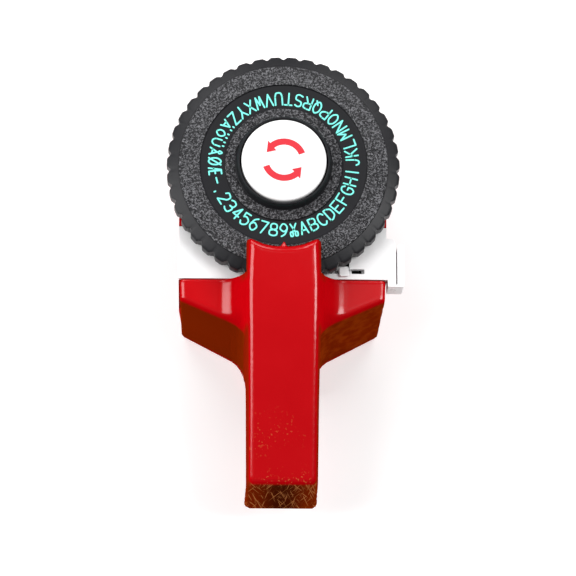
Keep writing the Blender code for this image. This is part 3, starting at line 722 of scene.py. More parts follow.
def extruded(name: str, outline: Sequence[Point], low: float, high: float) -> bpy.types.Mesh:
    """Extrude an outline in the XY plane along Z.

    Args:
        name: the mesh's name.
        outline: its corners, in millimetres, anticlockwise.
        low: the lower level.
        high: the upper level.

    Returns:
        The closed mesh.
    """
    count = len(outline)
    points = [(x, y, z) for z in (low, high) for x, y in outline]
    faces: list[Sequence[int]] = [list(reversed(range(count))), list(range(count, 2 * count))]
    for i in range(count):
        j = (i + 1) % count
        faces.append((i, j, count + j, count + i))
    return mesh_from(name, points, faces)


def apply_modifiers(piece: bpy.types.Object) -> bpy.types.Object:
    """Bake a piece's modifiers into a plain mesh and remove them.

    Args:
        piece: the object with modifiers.

    Returns:
        The same object, with the result as its mesh.
    """
    graph = bpy.context.evaluated_depsgraph_get()
    baked = bpy.data.meshes.new_from_object(piece.evaluated_get(graph))
    piece.modifiers.clear()
    piece.data = baked
    return piece


def soften(node: str, finish: Finish, edge_mm: float) -> bpy.types.Object:
    """Copy a CAD node, merge its triangles into flat faces and round its edges.

    Args:
        node: the CAD node's name.
        finish: the material it wears.
        edge_mm: the edge rounding.

    Returns:
        The piece, which replaces the node.
    """
    source = frame["nodes"][node]
    bm = bmesh.new()
    bm.from_mesh(source.data)
    bmesh.ops.remove_doubles(bm, verts=bm.verts, dist=2e-6)
    bmesh.ops.dissolve_limit(bm, angle_limit=math.radians(1.0), verts=bm.verts, edges=bm.edges)
    mesh = bpy.data.meshes.new(node + "_soft")
    bm.to_mesh(mesh)
    bm.free()
    piece = finish_piece(node + "_moulded", mesh, finish)
    bevel = piece.modifiers.new("edge", "BEVEL")
    bevel.width = edge_mm * MM
    bevel.segments = 2
    bevel.limit_method = "ANGLE"
    bevel.angle_limit = math.radians(32)
    bevel.use_clamp_overlap = True
    bevel.harden_normals = True
    apply_modifiers(piece)
    return piece


def settle(piece: bpy.types.Object, body: str, slot: str, *nodes: str) -> bpy.types.Object:
    """Make a piece ride on a body and replace CAD nodes.

    Args:
        piece: the finished piece.
        body: the body it moves with.
        slot: the record's material slot; not used.
        nodes: the CAD nodes it stands for.

    Returns:
        The piece.
    """
    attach(piece, body)
    if nodes:
        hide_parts(*nodes)
    LOG.info("%s rides on %s (%d faces)", piece.name, body, len(piece.data.polygons))
    return piece


# ------------------------------------------------------------------------------ solids by distance
def cut_round(a: np.ndarray, b: np.ndarray, radius: float) -> np.ndarray:
    """Distance to what two solids share, with the edge between them rounded.

    Args:
        a: distances to the first solid, negative inside.
        b: distances to the second.
        radius: the edge's radius.

    Returns:
        The distances.
    """
    both = np.sqrt(np.maximum(a + radius, 0) ** 2 + np.maximum(b + radius, 0) ** 2)
    return np.minimum(np.maximum(a, b), -radius) + both


def join_round(a: np.ndarray, b: np.ndarray, radius: np.ndarray) -> np.ndarray:
    """Distance to two solids joined by a hollow fillet.

    Args:
        a: distances to the first solid, negative inside.
        b: distances to the second.
        radius: the fillet's radius at each point.

    Returns:
        The distances.
    """
    both = np.sqrt(np.maximum(radius - a, 0) ** 2 + np.maximum(radius - b, 0) ** 2)
    return np.maximum(np.minimum(a, b), radius) - both


def polygon_distance(u: np.ndarray, v: np.ndarray, corners: Sequence[tuple[Any, Any]]) -> np.ndarray:
    """Signed distance to a polygon, negative inside.

    Args:
        u: first coordinate of each point.
        v: second coordinate of each point.
        corners: the polygon's corners; each coordinate is a number, or an array with one value per point.

    Returns:
        The distance of each point.
    """
    nearest = np.full(u.shape, np.inf)
    inside = np.zeros(u.shape, dtype=bool)
    count = len(corners)
    for i in range(count):
        ax, ay = corners[i]
        bx, by = corners[(i + 1) % count]
        ex, ey = bx - ax, by - ay
        wx, wy = u - ax, v - ay
        t = np.clip((wx * ex + wy * ey) / (ex * ex + ey * ey + 1e-12), 0, 1)
        nearest = np.minimum(nearest, (wx - ex * t) ** 2 + (wy - ey * t) ** 2)
        crosses = (ay > v) != (by > v)
        rise = np.where(np.abs(ey) < 1e-12, 1e-12, ey)
        inside ^= crosses & (u < ex * (v - ay) / rise + ax)
    return np.where(inside, -1, 1) * np.sqrt(nearest)


def crossing_points(value: np.ndarray, low: Point, step: float) -> tuple[np.ndarray, np.ndarray]:
    """Put one point into each grid cell that the surface passes through.

    Args:
        value: distances at the grid's corners.
        low: the grid's lowest corner.
        step: its spacing.

    Returns:
        The points, and each cell's point number, or -1.
    """
    cells = tuple(n - 1 for n in value.shape)
    total = np.zeros(cells + (3,))
    hits = np.zeros(cells)
    corners = [(i, j, k) for i in (0, 1) for j in (0, 1) for k in (0, 1)]
    for start, axis in ((c, n) for c in corners for n in range(3) if not c[n]):
        end = tuple(c + (n == axis) for n, c in enumerate(start))
        from_start, from_end = (value[tuple(slice(c, c + n) for c, n in zip(corner, cells))]
                                for corner in (start, end))
        crossed = (from_start < 0) != (from_end < 0)
        share = np.where(crossed, from_start / np.where(crossed, from_start - from_end, 1), 0)
        for n in range(3):
            total[..., n] += crossed * (start[n] + (share if n == axis else 0))
        hits += crossed
    used = hits > 0
    number = np.full(cells, -1)
    number[used] = np.arange(used.sum())
    return np.array(low) + (np.argwhere(used) + total[used] / hits[used][:, None]) * step, number


def crossing_faces(inside: np.ndarray, number: np.ndarray, axis: int) -> np.ndarray:
    """Make a face round each grid edge along one axis that the surface cuts.

    Args:
        inside: whether each grid corner is inside the solid.
        number: each cell's point number.
        axis: 0, 1 or 2.

    Returns:
        Four point numbers for each face, in outward order.
    """
    u, v = [n for n in range(3) if n != axis]
    ahead = np.take(inside, range(1, inside.shape[axis]), axis)
    behind = np.take(inside, range(inside.shape[axis] - 1), axis)
    edge = np.argwhere(ahead != behind)
    edge = edge[(edge[:, [u, v]] > 0).all(1) & (edge[:, [u, v]] < np.array(number.shape)[[u, v]]).all(1)]
    ring = []
    for du, dv in ((1, 1), (0, 1), (0, 0), (1, 0)):
        cell = edge.copy()
        cell[:, u] -= du
        cell[:, v] -= dv
        ring.append(number[tuple(cell.T)])
    quads = np.stack(ring, -1)
    outward = inside[tuple(edge.T)] ^ (axis == 1)
    quads[~outward] = quads[~outward][:, ::-1]
    return quads


def drawn_onto(points: np.ndarray, solid: Field, step: float) -> np.ndarray:
    """Move points onto a solid's surface along its slope.

    Args:
        points: the points, close to the surface.
        solid: the solid's distance field.
        step: twice the furthest that a point moves at a time.

    Returns:
        The moved points.
    """
    reach = 0.05
    for _ in range(4):
        slope = np.stack([(solid(points + shift) - solid(points - shift)) / (2 * reach)
                          for shift in np.eye(3) * reach], -1)
        size = np.maximum((slope ** 2).sum(-1), 0.25)
        move = np.clip(solid(points) / size, -step * 0.5, step * 0.5)
        points = points - slope * move[:, None]
    return points


def surface_net(name: str, solid: Field, low: Point, high: Point, step: float) -> bpy.types.Mesh:
    """Wrap a mesh round a solid that is given by its distance field.

    Args:
        name: the mesh's name.
        solid: distance of an (n, 3) array of points, negative inside.
        low: lowest corner of the box that holds it.
        high: highest corner.
        step: the mesh's spacing.

    Returns:
        The closed mesh, with its points moved onto the surface.
    """
    axes = [np.arange(a, b + step, step) for a, b in zip(low, high)]
    grid = np.stack(np.meshgrid(*axes, indexing="ij"), -1)
    flat = grid.reshape(-1, 3)
    value = np.concatenate([solid(part) for part in np.array_split(flat, 12)]).reshape(grid.shape[:3])
    points, number = crossing_points(value, low, step)
    points = drawn_onto(points, solid, step)
    quads = np.concatenate([crossing_faces(value < 0, number, axis) for axis in range(3)])
    mesh = bpy.data.meshes.new(name)
    mesh.vertices.add(len(points))
    mesh.vertices.foreach_set("co", (points * MM).astype(np.float32).ravel())
    mesh.loops.add(quads.size)
    mesh.loops.foreach_set("vertex_index", quads.astype(np.int32).ravel())
    mesh.polygons.add(len(quads))
    mesh.polygons.foreach_set("loop_start", np.arange(0, quads.size, 4, dtype=np.int32))
    mesh.update(calc_edges=True)
    mesh.validate()
    return mesh


# ------------------------------------------------------------------------------ handle shell
@dataclass
class HandleShell:
    """The winged red moulding: two wings, a raised spine over the dial, and the handle behind."""

    # wings
    wall: float = 1.7
    base_z: float = 2.7
    wing_z: float = 36.0
    wing_edge: float = 1.4
    seam_y: float = -32.85
    seam_edge: float = 0.35
    side: float = 30.45
    # spine and handle: (y, z) of the bend and of the end, then the hollow fillet to the wings
    tip_y: float = -24.6
    tip_z: float = 49.0
    bend: tuple[float, float] = (-44.7, 47.0)
    end: tuple[float, float] = (-93.4, 34.0)
    bend_softness: float = 1.2
    spine_edge: float = 1.25
    spine_corner: float = 1.7
    handle_edge_z: float = 27.6
    fillet: float = 6.4
    # tongue over the dial, and the wall that carries it
    tongue_z: float = 45.0
    tongue_back_y: float = -36.5
    tongue_wall_y: float = -34.6
    dial_clearance: float = 34.5
    # wall that hangs from the handle's end: its lean, lower edge and thickness
    tail_lean: float = 0.156
    tail_z: float = 13.5
    tail_wall: float = 1.9
    # room for the lever
    channel_half: float = 8.3
    channel_front_y: float = -36.4
    channel_low_z: float = 13.3
    wing_back_y: float = -60.5
    roof: float = 1.8
    # screw posts
    post_x: float = 24.0
    post_y: float = -36.0
    post_radius: float = 3.6
    post_top_z: float = 12.3
    bore_radius: float = 1.5
    bore_top_z: float = 10.0
    # mesh spacing
    step: float = 0.62
    quick_step: float = 1.1

    def flank(self, z: np.ndarray) -> list[tuple[Any, Any]]:
        """Outline of the wings at a height: it grows a little towards the base, for the mould's draft.

        Args:
            z: the height of each point.

        Returns:
            The outline's corners, with one value per point where the draft moves them.
        """
        share = np.clip((self.wing_z - z) / self.wing_z, 0, 1)
        top = [(29.95, -39.0), (15.4, -45.3), (13.2, -46.4), (11.4, -47.9), (10.2, -49.8), (9.8, -52.2),
               (8.8, -53.4)]
        low = [(29.5, -41.5), (14.4, -49.3), (12.5, -50.9), (11.3, -52.8), (10.5, -55.2), (10.1, -58.0),
               (8.6, -59.4)]
        right: list[tuple[Any, Any]] = [(self.side, self.seam_y + 6.0)]
        for a, b in zip(top, low):
            right.append((a[0] + (b[0] - a[0]) * share, a[1] + (b[1] - a[1]) * share))
        return right + [(-x, y) for x, y in reversed(right)]

    def spine_plan(self) -> list[Point]:
        """Plan of the spine's top: tip hollowed round the letter ring, then tapered sides.

        Returns:
            The outline's corners.
        """
        tip = [(0.0, self.tip_y - 2.1), (3.0, self.tip_y - 1.95), (6.0, self.tip_y - 1.4),
               (9.6, self.tip_y + 0.1)]
        sides = [(9.8, -30.0), (10.05, -37.0), (10.0, self.bend[0]), (9.65, -70.0), (9.5, -100.0)]
        right = tip + sides
        return right + [(-x, y) for x, y in reversed(right[1:])]

    def top_height(self, y: np.ndarray) -> np.ndarray:
        """Height of the spine's top: nearly level over the dial, then sloping down the handle.

        Args:
            y: where along the maker.

        Returns:
            The height of each.
        """
        slope = (self.bend[1] - self.end[1]) / (self.bend[0] - self.end[0])
        level = (self.tip_z - self.bend[1]) / (self.tip_y - self.bend[0])
        front = self.tip_z + level * (y - self.tip_y)
        back = self.bend[1] + slope * (y - self.bend[0])
        return 0.5 * (front + back - np.sqrt((front - back) ** 2 + self.bend_softness ** 2))

    def spine_form(self, p: np.ndarray) -> np.ndarray:
        """Distance to the spine without its underside; its sides lean out as they fall.

        Args:
            p: the points, as an (n, 3) array.

        Returns:
            The distances.
        """
        x, y, z = p.T
        fall = np.clip(self.top_height(y) - z, 0, None)
        near = np.clip((y + 50.0) / 6.0, 0, 1)
        lean = np.minimum(fall, 4.0) * 0.2 + np.minimum(fall, 9.0) * 0.14 * near + fall * 0.02
        plan = polygon_distance(x, y, self.spine_plan()) - lean
        sides = cut_round(plan, -self.tail_line(y, z, 0.0), self.spine_corner)
        return cut_round(sides, (z - self.top_height(y)) * 0.97, self.spine_edge)

    def tail_line(self, y: np.ndarray, z: np.ndarray, inset: float) -> np.ndarray:
        """How far a place lies in front of a leaning face of the tail wall.

        Args:
            y: second coordinate of each point.
            z: third coordinate.
            inset: how far the face lies in front of the outer one.

        Returns:
            The distances, positive in front.
        """
        upright = math.cos(math.atan(self.tail_lean))
        return (y - (self.end[0] + inset - self.tail_lean * (self.end[1] - z))) * upright

    def spine(self, p: np.ndarray) -> np.ndarray:
        """Distance to the spine with the handle's open underside and the tail wall.

        Args:
            p: the points, as an (n, 3) array.

        Returns:
            The distances.
        """
        y, z = p[:, 1], p[:, 2]
        under = np.interp(-y, [60.0, 62.0, 94.0], [20.0, 31.0, self.handle_edge_z])
        tail = np.maximum(self.tail_line(y, z, self.tail_wall), self.tail_z - z)
        return np.maximum(self.spine_form(p), np.minimum(under - z, tail))

    def outside(self, p: np.ndarray) -> np.ndarray:
        """Distance to the shell before it is hollowed out.

        Args:
            p: the points, as an (n, 3) array.

        Returns:
            The distances.
        """
        x, y, z = p.T
        wing = cut_round(polygon_distance(x, y, self.flank(z)), z - self.wing_z, self.wing_edge)
        wing = np.maximum(wing, self.base_z - z)
        spine = self.spine(p)
        near_wing = np.clip((y + 50.5) / 9.0, 0, 1) * np.clip((z - 27.0) / 7.0, 0, 1)
        radius = 0.05 + self.fillet * near_wing * near_wing * (3 - 2 * near_wing)
        behind = y - self.seam_y
        joined = join_round(wing * 0.8, np.maximum(spine, behind), radius)
        body = cut_round(joined, behind, self.seam_edge)
        around_dial = self.dial_clearance - np.hypot(x, y)
        body = np.maximum(body, np.where(z > self.wing_z + 0.6, around_dial, -FAR))
        tongue = cut_round(np.maximum(spine, self.tongue_back_y - y), self.tongue_z - z, 0.4)
        body = np.minimum(body, np.maximum(spine, y - self.tongue_wall_y))
        return np.minimum(body, np.minimum(tongue, self.pointer(x, y, z)))

    def hollow(self, p: np.ndarray) -> np.ndarray:
        """Distance to the room inside the wings and the handle.

        Args:
            p: the points, as an (n, 3) array.

        Returns:
            The distances.
        """
        x, y, z = p.T
        wing = np.maximum(polygon_distance(x, y, self.flank(z)), z - self.wing_z) + self.wall
        plan = np.maximum(np.abs(x) - self.channel_half, -self.tail_line(y, z, self.tail_wall))
        channel = np.maximum(np.maximum(plan, z - self.top_height(y) + self.roof), y - self.channel_front_y)
        channel = np.maximum(channel, np.where(y > self.wing_back_y, self.channel_low_z - z, -FAR))
        return np.minimum(wing, channel)

    def solid(self, p: np.ndarray) -> np.ndarray:
        """Distance to the whole shell, with its two screw posts.

        Args:
            p: the points, as an (n, 3) array.

        Returns:
            The distances.
        """
        x, y, z = p.T
        body = np.maximum(self.outside(p), -self.hollow(p))
        for side in (-self.post_x, self.post_x):
            radius = np.hypot(x - side, y - self.post_y)
            post = np.maximum(radius - self.post_radius, np.maximum(self.base_z - z, z - self.post_top_z))
            bore = np.maximum(radius - self.bore_radius, z - self.bore_top_z)
            body = np.maximum(np.minimum(body, post), -bore)
        return body

    def pointer(self, x: np.ndarray, y: np.ndarray, z: np.ndarray) -> np.ndarray:
        """Distance to the small pointer in the middle of the tip, which shows the chosen letter.

        Args:
            x: first coordinate of each point.
            y: second coordinate.
            z: third coordinate.

        Returns:
            The distances.
        """
        foot, half = self.tip_y - 2.6, 1.5
        wedge = polygon_distance(x, y, [(0.0, self.tip_y + 0.3), (-half, foot), (half, foot)])
        height = np.maximum(z - self.tip_z + 1.3, self.tongue_z + 0.3 - z)
        return cut_round(wedge, height, 0.12)

    def build(self) -> None:
        """Wrap the shell and put it in place of the CAD node."""
        step = self.step
        low_corner, high_corner = (-31.5, -98.2, 1.5), (31.5, -22.5, 50.5)
        mesh = surface_net("handle_shell_skin", self.solid, low_corner, high_corner, step)
        piece = finish_piece("winged_handle_shell", mesh, RED, Shading.SMOOTH)
        settle(piece, "housing", "red_shell", "handle_shell")


# ------------------------------------------------------------------------------ dial
# Each sign as pen strokes: points are "x.y" in tenths of its width and height, and ~ marks a curved stroke.
STROKES: dict[str, str] = {
    "2": "~0.8,2.10,5.10,9.9,9.6,6.4,0.0 0.0,10.0",
    "3": "~0.9,4.10,9.9,9.6,4.5 ~4.5,9.5,10.3,8.0,3.0,0.1",
    "4": "7.0,7.10,0.3,10.3",
    "5": "9.10,1.10,1.6 ~1.6,5.7,10.5,10.2,6.0,2.0,0.2",
    "6": "~8.10,3.8,0.3,3.0,7.0,10.3,8.5,4.6,0.4",
    "7": "0.10,10.10,3.0",
    "8": "~5.5,1.6,1.9,5.10,9.9,9.6,5.5,0.4,0.1,5.0,10.1,10.4,5.5",
    "9": "~2.0,7.2,10.7,7.10,3.10,0.7,2.5,6.4,10.6",
    "scissors": "3.3,9.10 7.3,1.10 ~3.3,0.3,0.0,3.0,3.3 ~7.3,10.3,10.0,7.0,7.3",
    "A": "0.0,5.10,10.0 2.3,8.3",
    "B": "0.0,0.10,5.10 ~5.10,9.9,9.6,5.5 0.5,5.5 ~5.5,10.4,10.1,5.0 5.0,0.0",
    "C": "~10.8,7.10,2.9,0.5,2.1,7.0,10.2",
    "D": "0.0,0.10,4.10 ~4.10,9.8,10.5,9.2,4.0 4.0,0.0",
    "E": "10.10,0.10,0.0,10.0 0.5,8.5",
    "F": "10.10,0.10,0.0 0.5,8.5",
    "G": "~10.8,7.10,2.9,0.5,2.1,7.0,10.2 10.2,10.5,6.5",
    "H": "0.0,0.10 10.0,10.10 0.5,10.5",
    "I": "5.0,5.10",
    "J": "9.10,9.3 ~9.3,7.0,3.0,1.2",
    "K": "0.0,0.10 9.10,0.4 3.6,10.0",
    "L": "0.10,0.0,9.0",
    "M": "0.0,0.10,5.4,10.10,10.0",
    "N": "0.0,0.10,10.0,10.10",
    "O": "~5.0,1.2,0.5,1.8,5.10,9.8,10.5,9.2,5.0",
    "P": "0.0,0.10,5.10 ~5.10,10.9,10.6,5.4 5.4,0.4",
    "Q": "~5.0,1.2,0.5,1.8,5.10,9.8,10.5,9.2,5.0 6.3,10.0",
    "R": "0.0,0.10,5.10 ~5.10,10.9,10.6,5.5 5.5,0.5 5.5,10.0",
    "S": "~9.9,5.10,1.9,1.6,5.5,9.4,9.1,5.0,0.1",
    "T": "0.10,10.10 5.10,5.0",
    "U": "0.10,0.3 ~0.3,2.0,8.0,10.3 10.3,10.10",
    "V": "0.10,5.0,10.10",
    "W": "0.10,2.0,5.7,8.0,10.10",
    "X": "0.0,10.10 0.10,10.0",
    "Y": "0.10,5.5,10.10 5.5,5.0",
    "Z": "0.10,10.10,0.0,10.0",
    "Ä": "0.0,5.7,10.0 2.2,8.2 2.9,2.10 8.9,8.10",
    "Ö": "~5.0,1.2,1.5,5.7,9.5,9.2,5.0 2.9,2.10 8.9,8.10",
    "Ü": "0.7,0.2 ~0.2,3.0,7.0,10.2 10.2,10.7 2.9,2.10 8.9,8.10",
    "Å": "0.0,5.6,10.0 2.2,8.2 ~5.7,3.8,5.10,7.8,5.7",
    "Ø": "~5.0,1.2,0.5,1.8,5.10,9.8,10.5,9.2,5.0 0.0,10.10",
    "Æ": "0.0,4.10,5.10,5.0,10.0 1.4,5.4 5.5,9.5 5.10,10.10",
    "-": "1.5,9.5",
    ".": "5.0,5.1",
}


def smooth_path(path: Sequence[Point], steps: int = 5) -> list[Point]:
    """Run a smooth curve through a path's points.

    Args:
        path: the points, where an equal first and last one closes the curve.
        steps: how many pieces each stretch is cut into.

    Returns:
        The curve's points.
    """
    spots = [Vector(p) for p in path]
    closed = (spots[0] - spots[-1]).length < 1e-6
    made: list[Point] = []
    for i in range(len(spots) - 1):
        b, c = spots[i], spots[i + 1]
        a = spots[i - 1] if i > 0 else (spots[-2] if closed else b)
        d = spots[i + 2] if i + 2 < len(spots) else (spots[1] if closed else c)
        for k in range(steps):
            t = k / steps
            square = (2 * a - 5 * b + 4 * c - d) * t * t
            cube = (3 * b - a - 3 * c + d) * t ** 3
            made.append(tuple(0.5 * (2 * b + (c - a) * t + square + cube)))
    return made + [tuple(spots[-1])]


@dataclass
class Dial:
    """Notched wheel with its sunken ring of letters, its cap and the cap's printed mark."""

    count: int = 43
    radius: float = 34.3
    depth: float = 1.05
    share: float = 0.62
    base_z: float = 37.4
    ring_z: float = 43.9
    letter_outer: float = 22.25
    letter_inner: float = 18.15
    cap_radius: float = 12.45
    sides_per_notch: int = 16
    pen: float = 0.46
    pointer_sign: int = 7

    def profile(self) -> list[Point]:
        """Section of the wheel: rim, chamfered band, crown, sunken ring, cup, hub and hollow underside.

        Returns:
            The (radius, height) corners in order.
        """
        edge = self.radius
        rim = [(edge - 0.5, self.base_z), (edge, self.base_z + 0.5), (edge, 40.9), (edge - 0.15, 41.3),
               (edge - 0.5, 41.6), (edge - 1.0, 41.85), (30.8, 42.75)]
        face = [(30.7, 42.9), (27.6, 43.55), (24.6, 44.15), (24.35, self.ring_z), (17.5, self.ring_z),
                (17.25, 44.2), (15.6, 44.25)]
        boss = [(14.4, 44.4), (14.05, 44.7), (13.9, 45.3), (13.75, 46.4), (13.5, 47.45), (13.3, 47.7),
                (12.95, 47.7), (12.9, 47.5), (12.9, 43.35)]
        inside = [(2.0, 43.35), (2.0, 40.6), (4.3, 40.6), (4.3, self.base_z), (9.0, self.base_z), (9.0, 41.2),
                  (24.0, 41.2), (30.6, 40.4), (31.4, self.base_z)]
        return rim + face + boss + inside

    def notch_tree(self) -> bpy.types.NodeTree:
        """Geometry nodes that sink the grip notches into a turned wheel's rim.

        Returns:
            A node group with inputs for the count, rim radius, depth and share of each step.
        """
        tree = bpy.data.node_groups.new("rim_notches", "GeometryNodeTree")
        tree.interface.new_socket("Wheel", in_out="INPUT", socket_type="NodeSocketGeometry")
        for label in ("Count", "Rim radius", "Depth", "Share"):
            tree.interface.new_socket(label, in_out="INPUT", socket_type="NodeSocketFloat")
        tree.interface.new_socket("Material", in_out="INPUT", socket_type="NodeSocketMaterial")
        tree.interface.new_socket("Wheel", in_out="OUTPUT", socket_type="NodeSocketGeometry")
        given = add_node(tree, "NodeGroupInput").outputs
        x, y, z = axes_of(tree, add_node(tree, "GeometryNodeInputPosition").outputs[0])
        turns = math_node(tree, "DIVIDE", math_node(tree, "ARCTAN2", y, x), 2 * math.pi)
        lead = math_node(tree, "MULTIPLY", given["Count"], 1.25)
        steps = math_node(tree, "MULTIPLY_ADD", turns, given["Count"], lead)
        off = math_node(tree, "ABSOLUTE", math_node(tree, "SUBTRACT", math_node(tree, "FRACT", steps), 0.5))
        across = math_node(tree, "DIVIDE", off, math_node(tree, "MULTIPLY", given["Share"], 0.5))
        sunk = math_node(tree, "MULTIPLY", ramp(tree, across, 1.0, 0.0), given["Depth"])
        limit = math_node(tree, "SUBTRACT", given["Rim radius"], sunk)
        flat = add_node(tree, "ShaderNodeCombineXYZ", {0: x, 1: y}).outputs[0]
        radius = add_node(tree, "ShaderNodeVectorMath", {0: flat}, operation="LENGTH").outputs[1]
        scale = math_node(tree, "DIVIDE", math_node(tree, "MINIMUM", radius, limit), radius)
        spot = {0: math_node(tree, "MULTIPLY", x, scale), 1: math_node(tree, "MULTIPLY", y, scale), 2: z}
        moved = add_node(tree, "ShaderNodeCombineXYZ", spot).outputs[0]
        sink = add_node(tree, "GeometryNodeSetPosition", {"Geometry": given["Wheel"], "Position": moved})
        real = add_node(tree, "GeometryNodeRealizeInstances", {"Geometry": sink.outputs[0]})
        dressed = add_node(tree, "GeometryNodeSetMaterial",
                           {"Geometry": real.outputs[0], "Material": given["Material"]})
        add_node(tree, "NodeGroupOutput", {0: dressed.outputs[0]})
        return tree

    def wheel(self) -> bpy.types.Object:
        """Turn the black wheel and sink its notches.

        Returns:
            The wheel.
        """
        mesh = turned("dial_wheel", self.profile(), self.count * self.sides_per_notch)
        piece = finish_piece("dial_wheel_moulded", mesh, BLACK)
        values = {"Count": float(self.count), "Rim radius": self.radius * MM, "Depth": self.depth * MM,
                  "Share": self.share, "Material": BLACK.make()}
        run_tree(piece, self.notch_tree(), values)
        piece.data.shade_smooth()
        piece.data.set_sharp_from_angle(angle=math.radians(28))
        return piece

    def sign_place(self, number: int) -> Matrix:
        """Where one sign stands: its foot at the outer side, its top towards the dial's middle.

        Args:
            number: the sign's place in the row; `pointer_sign` stands at the pointer.

        Returns:
            The sign's place and turn, in metres.
        """
        azimuth = math.radians(-90.0 + 360.0 / self.count * (number - self.pointer_sign))
        middle = (self.letter_outer + self.letter_inner) / 2
        spot = Vector((math.cos(azimuth) * middle, math.sin(azimuth) * middle, self.ring_z - 0.02)) * MM
        return Matrix.Translation(spot) @ Matrix.Rotation(azimuth + math.pi / 2, 4, "Z")

    def letters(self) -> bpy.types.Object:
        """Print all the signs as one thin piece.

        Returns:
            The printed ring.
        """
        signs = []
        for number, sign in enumerate(STROKES):
            mesh = self.sign_mesh(sign)
            mesh.transform(self.sign_place(number))
            signs.append(mesh)
        return finish_piece("dial_printed_letters", merged_mesh("dial_letters", signs), MINT, Shading.FLAT)

    def sign_mesh(self, sign: str) -> bpy.types.Mesh:
        """Draw one sign with a round pen, centred on its own middle.

        Args:
            sign: its key in STROKES.

        Returns:
            The sign's mesh.
        """
        tall = self.letter_outer - self.letter_inner - self.pen
        wide = 0.56 * tall
        lines = []
        for line in STROKES[sign].split():
            pairs = [pair.split(".") for pair in line.lstrip("~").split(",")]
            path = [((int(across) / 10 - 0.5) * wide, (int(up) / 10 - 0.5) * tall) for across, up in pairs]
            lines.append(stroke(smooth_path(path) if line.startswith("~") else path, self.pen, 0.1))
        return merged_mesh("sign", lines)

    def cap(self) -> bpy.types.Object:
        """Turn the white cap, gently domed with a soft edge.

        Returns:
            The cap.
        """
        edge = self.cap_radius
        under = [(0.0, 46.8), (11.2, 46.6), (11.2, 43.7), (edge - 0.1, 43.7), (edge, 43.9)]
        dome = [(edge, 47.6), (edge - 0.1, 47.9), (edge - 0.35, 48.12), (edge - 0.8, 48.24), (9.0, 48.36),
                (5.0, 48.39), (0.0, 48.4)]
        return finish_piece("dial_cap_polished", turned("cap", under + dome, 128), CAP_WHITE)

    def mark(self) -> bpy.types.Object:
        """Print a plain mark: two curved arrows that chase each other round the cap's middle.

        Returns:
            The mark.
        """
        inner, outer, top, ink = 4.6, 6.5, 48.44, 0.12
        barb, head_turn = 0.95, 0.48
        arrows = []
        for start in (0.0, math.pi):
            angles = np.linspace(start + 0.35, start + 2.25, 25)
            end = angles[-1]
            corners = [(outer, a) for a in angles]
            corners += [(outer + barb, end), ((inner + outer) / 2, end + head_turn), (inner - barb, end)]
            corners += [(inner, a) for a in reversed(angles)]
            outline = [(radius * math.cos(a), radius * math.sin(a)) for radius, a in corners]
            arrows.append(extruded("arrow", outline, top - ink, top))
        return finish_piece("cap_printed_mark", merged_mesh("cap_mark", arrows), PRINT_RED, Shading.FLAT)

    def build(self) -> None:
        """Make the dial's pieces and hang them on the dial's body."""
        settle(self.wheel(), "dial_wheel", "black_dial", "dial")
        settle(self.letters(), "dial_wheel", "black_dial")
        settle(self.cap(), "dial_wheel", "white_cap", "dial_cap")
        settle(self.mark(), "dial_wheel", "white_cap")


def stroke(path: Sequence[Point], width: float, thick: float) -> bpy.types.Mesh:
    """A flat pen stroke with round ends and joints, in millimetres, lying on z = 0.

    Args:
        path: the points that the pen's middle passes.
        width: the pen's width.
        thick: how high the ink stands.

    Returns:
        The stroke's mesh.
    """
    half_turn_steps = 5
    parts = []
    for number, (a, b) in enumerate(zip(path, path[1:])):
        start, end = Vector(a), Vector(b)
        heading = math.atan2(end.y - start.y, end.x - start.x)
        outline = []
        for spot, turn in ((end, -math.pi / 2), (start, math.pi / 2)):
            for k in range(half_turn_steps + 1):
                angle = heading + turn + math.pi * k / half_turn_steps
                outline.append((spot.x + math.cos(angle) * width / 2, spot.y + math.sin(angle) * width / 2))
        # Neighbours end at slightly different heights, so that no two faces share a plane.
        parts.append(extruded("stroke", outline, 0.0, thick + 0.004 * (number % 7)))
    return merged_mesh("stroke", parts)


def run_tree(piece: bpy.types.Object, tree: bpy.types.NodeTree, values: dict[str, Any]) -> bpy.types.Object:
    """Run a geometry node tree on a piece and keep the result as its plain mesh.

    Args:
        piece: the object that the tree works on.
        tree: the node group.
        values: input name to value.

    Returns:
        The piece.
    """
    modifier = piece.modifiers.new(tree.name, "NODES")
    modifier.node_group = tree
    for item in tree.interface.items_tree:
        if item.item_type == "SOCKET" and item.in_out == "INPUT" and item.name in values:
            modifier[item.identifier] = values[item.name]
    return apply_modifiers(piece)


# ------------------------------------------------------------------------------ other sub-assemblies
@dataclass
class Carried:
    """The housings, frame, lever, rollers and discs, moulded or machined from the frame's own solids."""

    casing_edge: float = 0.4
    part_edge: float = 0.12

    def build(self) -> None:
        """Round the edges of each solid and dress it for its material and process."""
        slots = {part["node"]: part["material_slot"] for part in frame["record"]["subparts"]}
        looks = {"red_shell": BODY_RED, "white_plastic": WHITE, "white_cap": CAP_WHITE, "black_dial": BLACK,
                 "grey_frame": GREY, "grey_disc": DARK_GREY, "steel": STEEL, "spring_steel": SPRING,
                 "roller_rubber": RUBBER, "tape": TAPE}
        built_elsewhere = {"handle_shell", "dial", "dial_cap", "trigger_spring"}
        for body, nodes in frame["record"]["behaviour"]["bodies"].items():
            for node in nodes:
                if node in built_elsewhere:
                    continue
                edge = self.casing_edge if slots[node] in ("red_shell", "white_plastic") else self.part_edge
                settle(soften(node, looks[slots[node]], edge), body, slots[node], node)


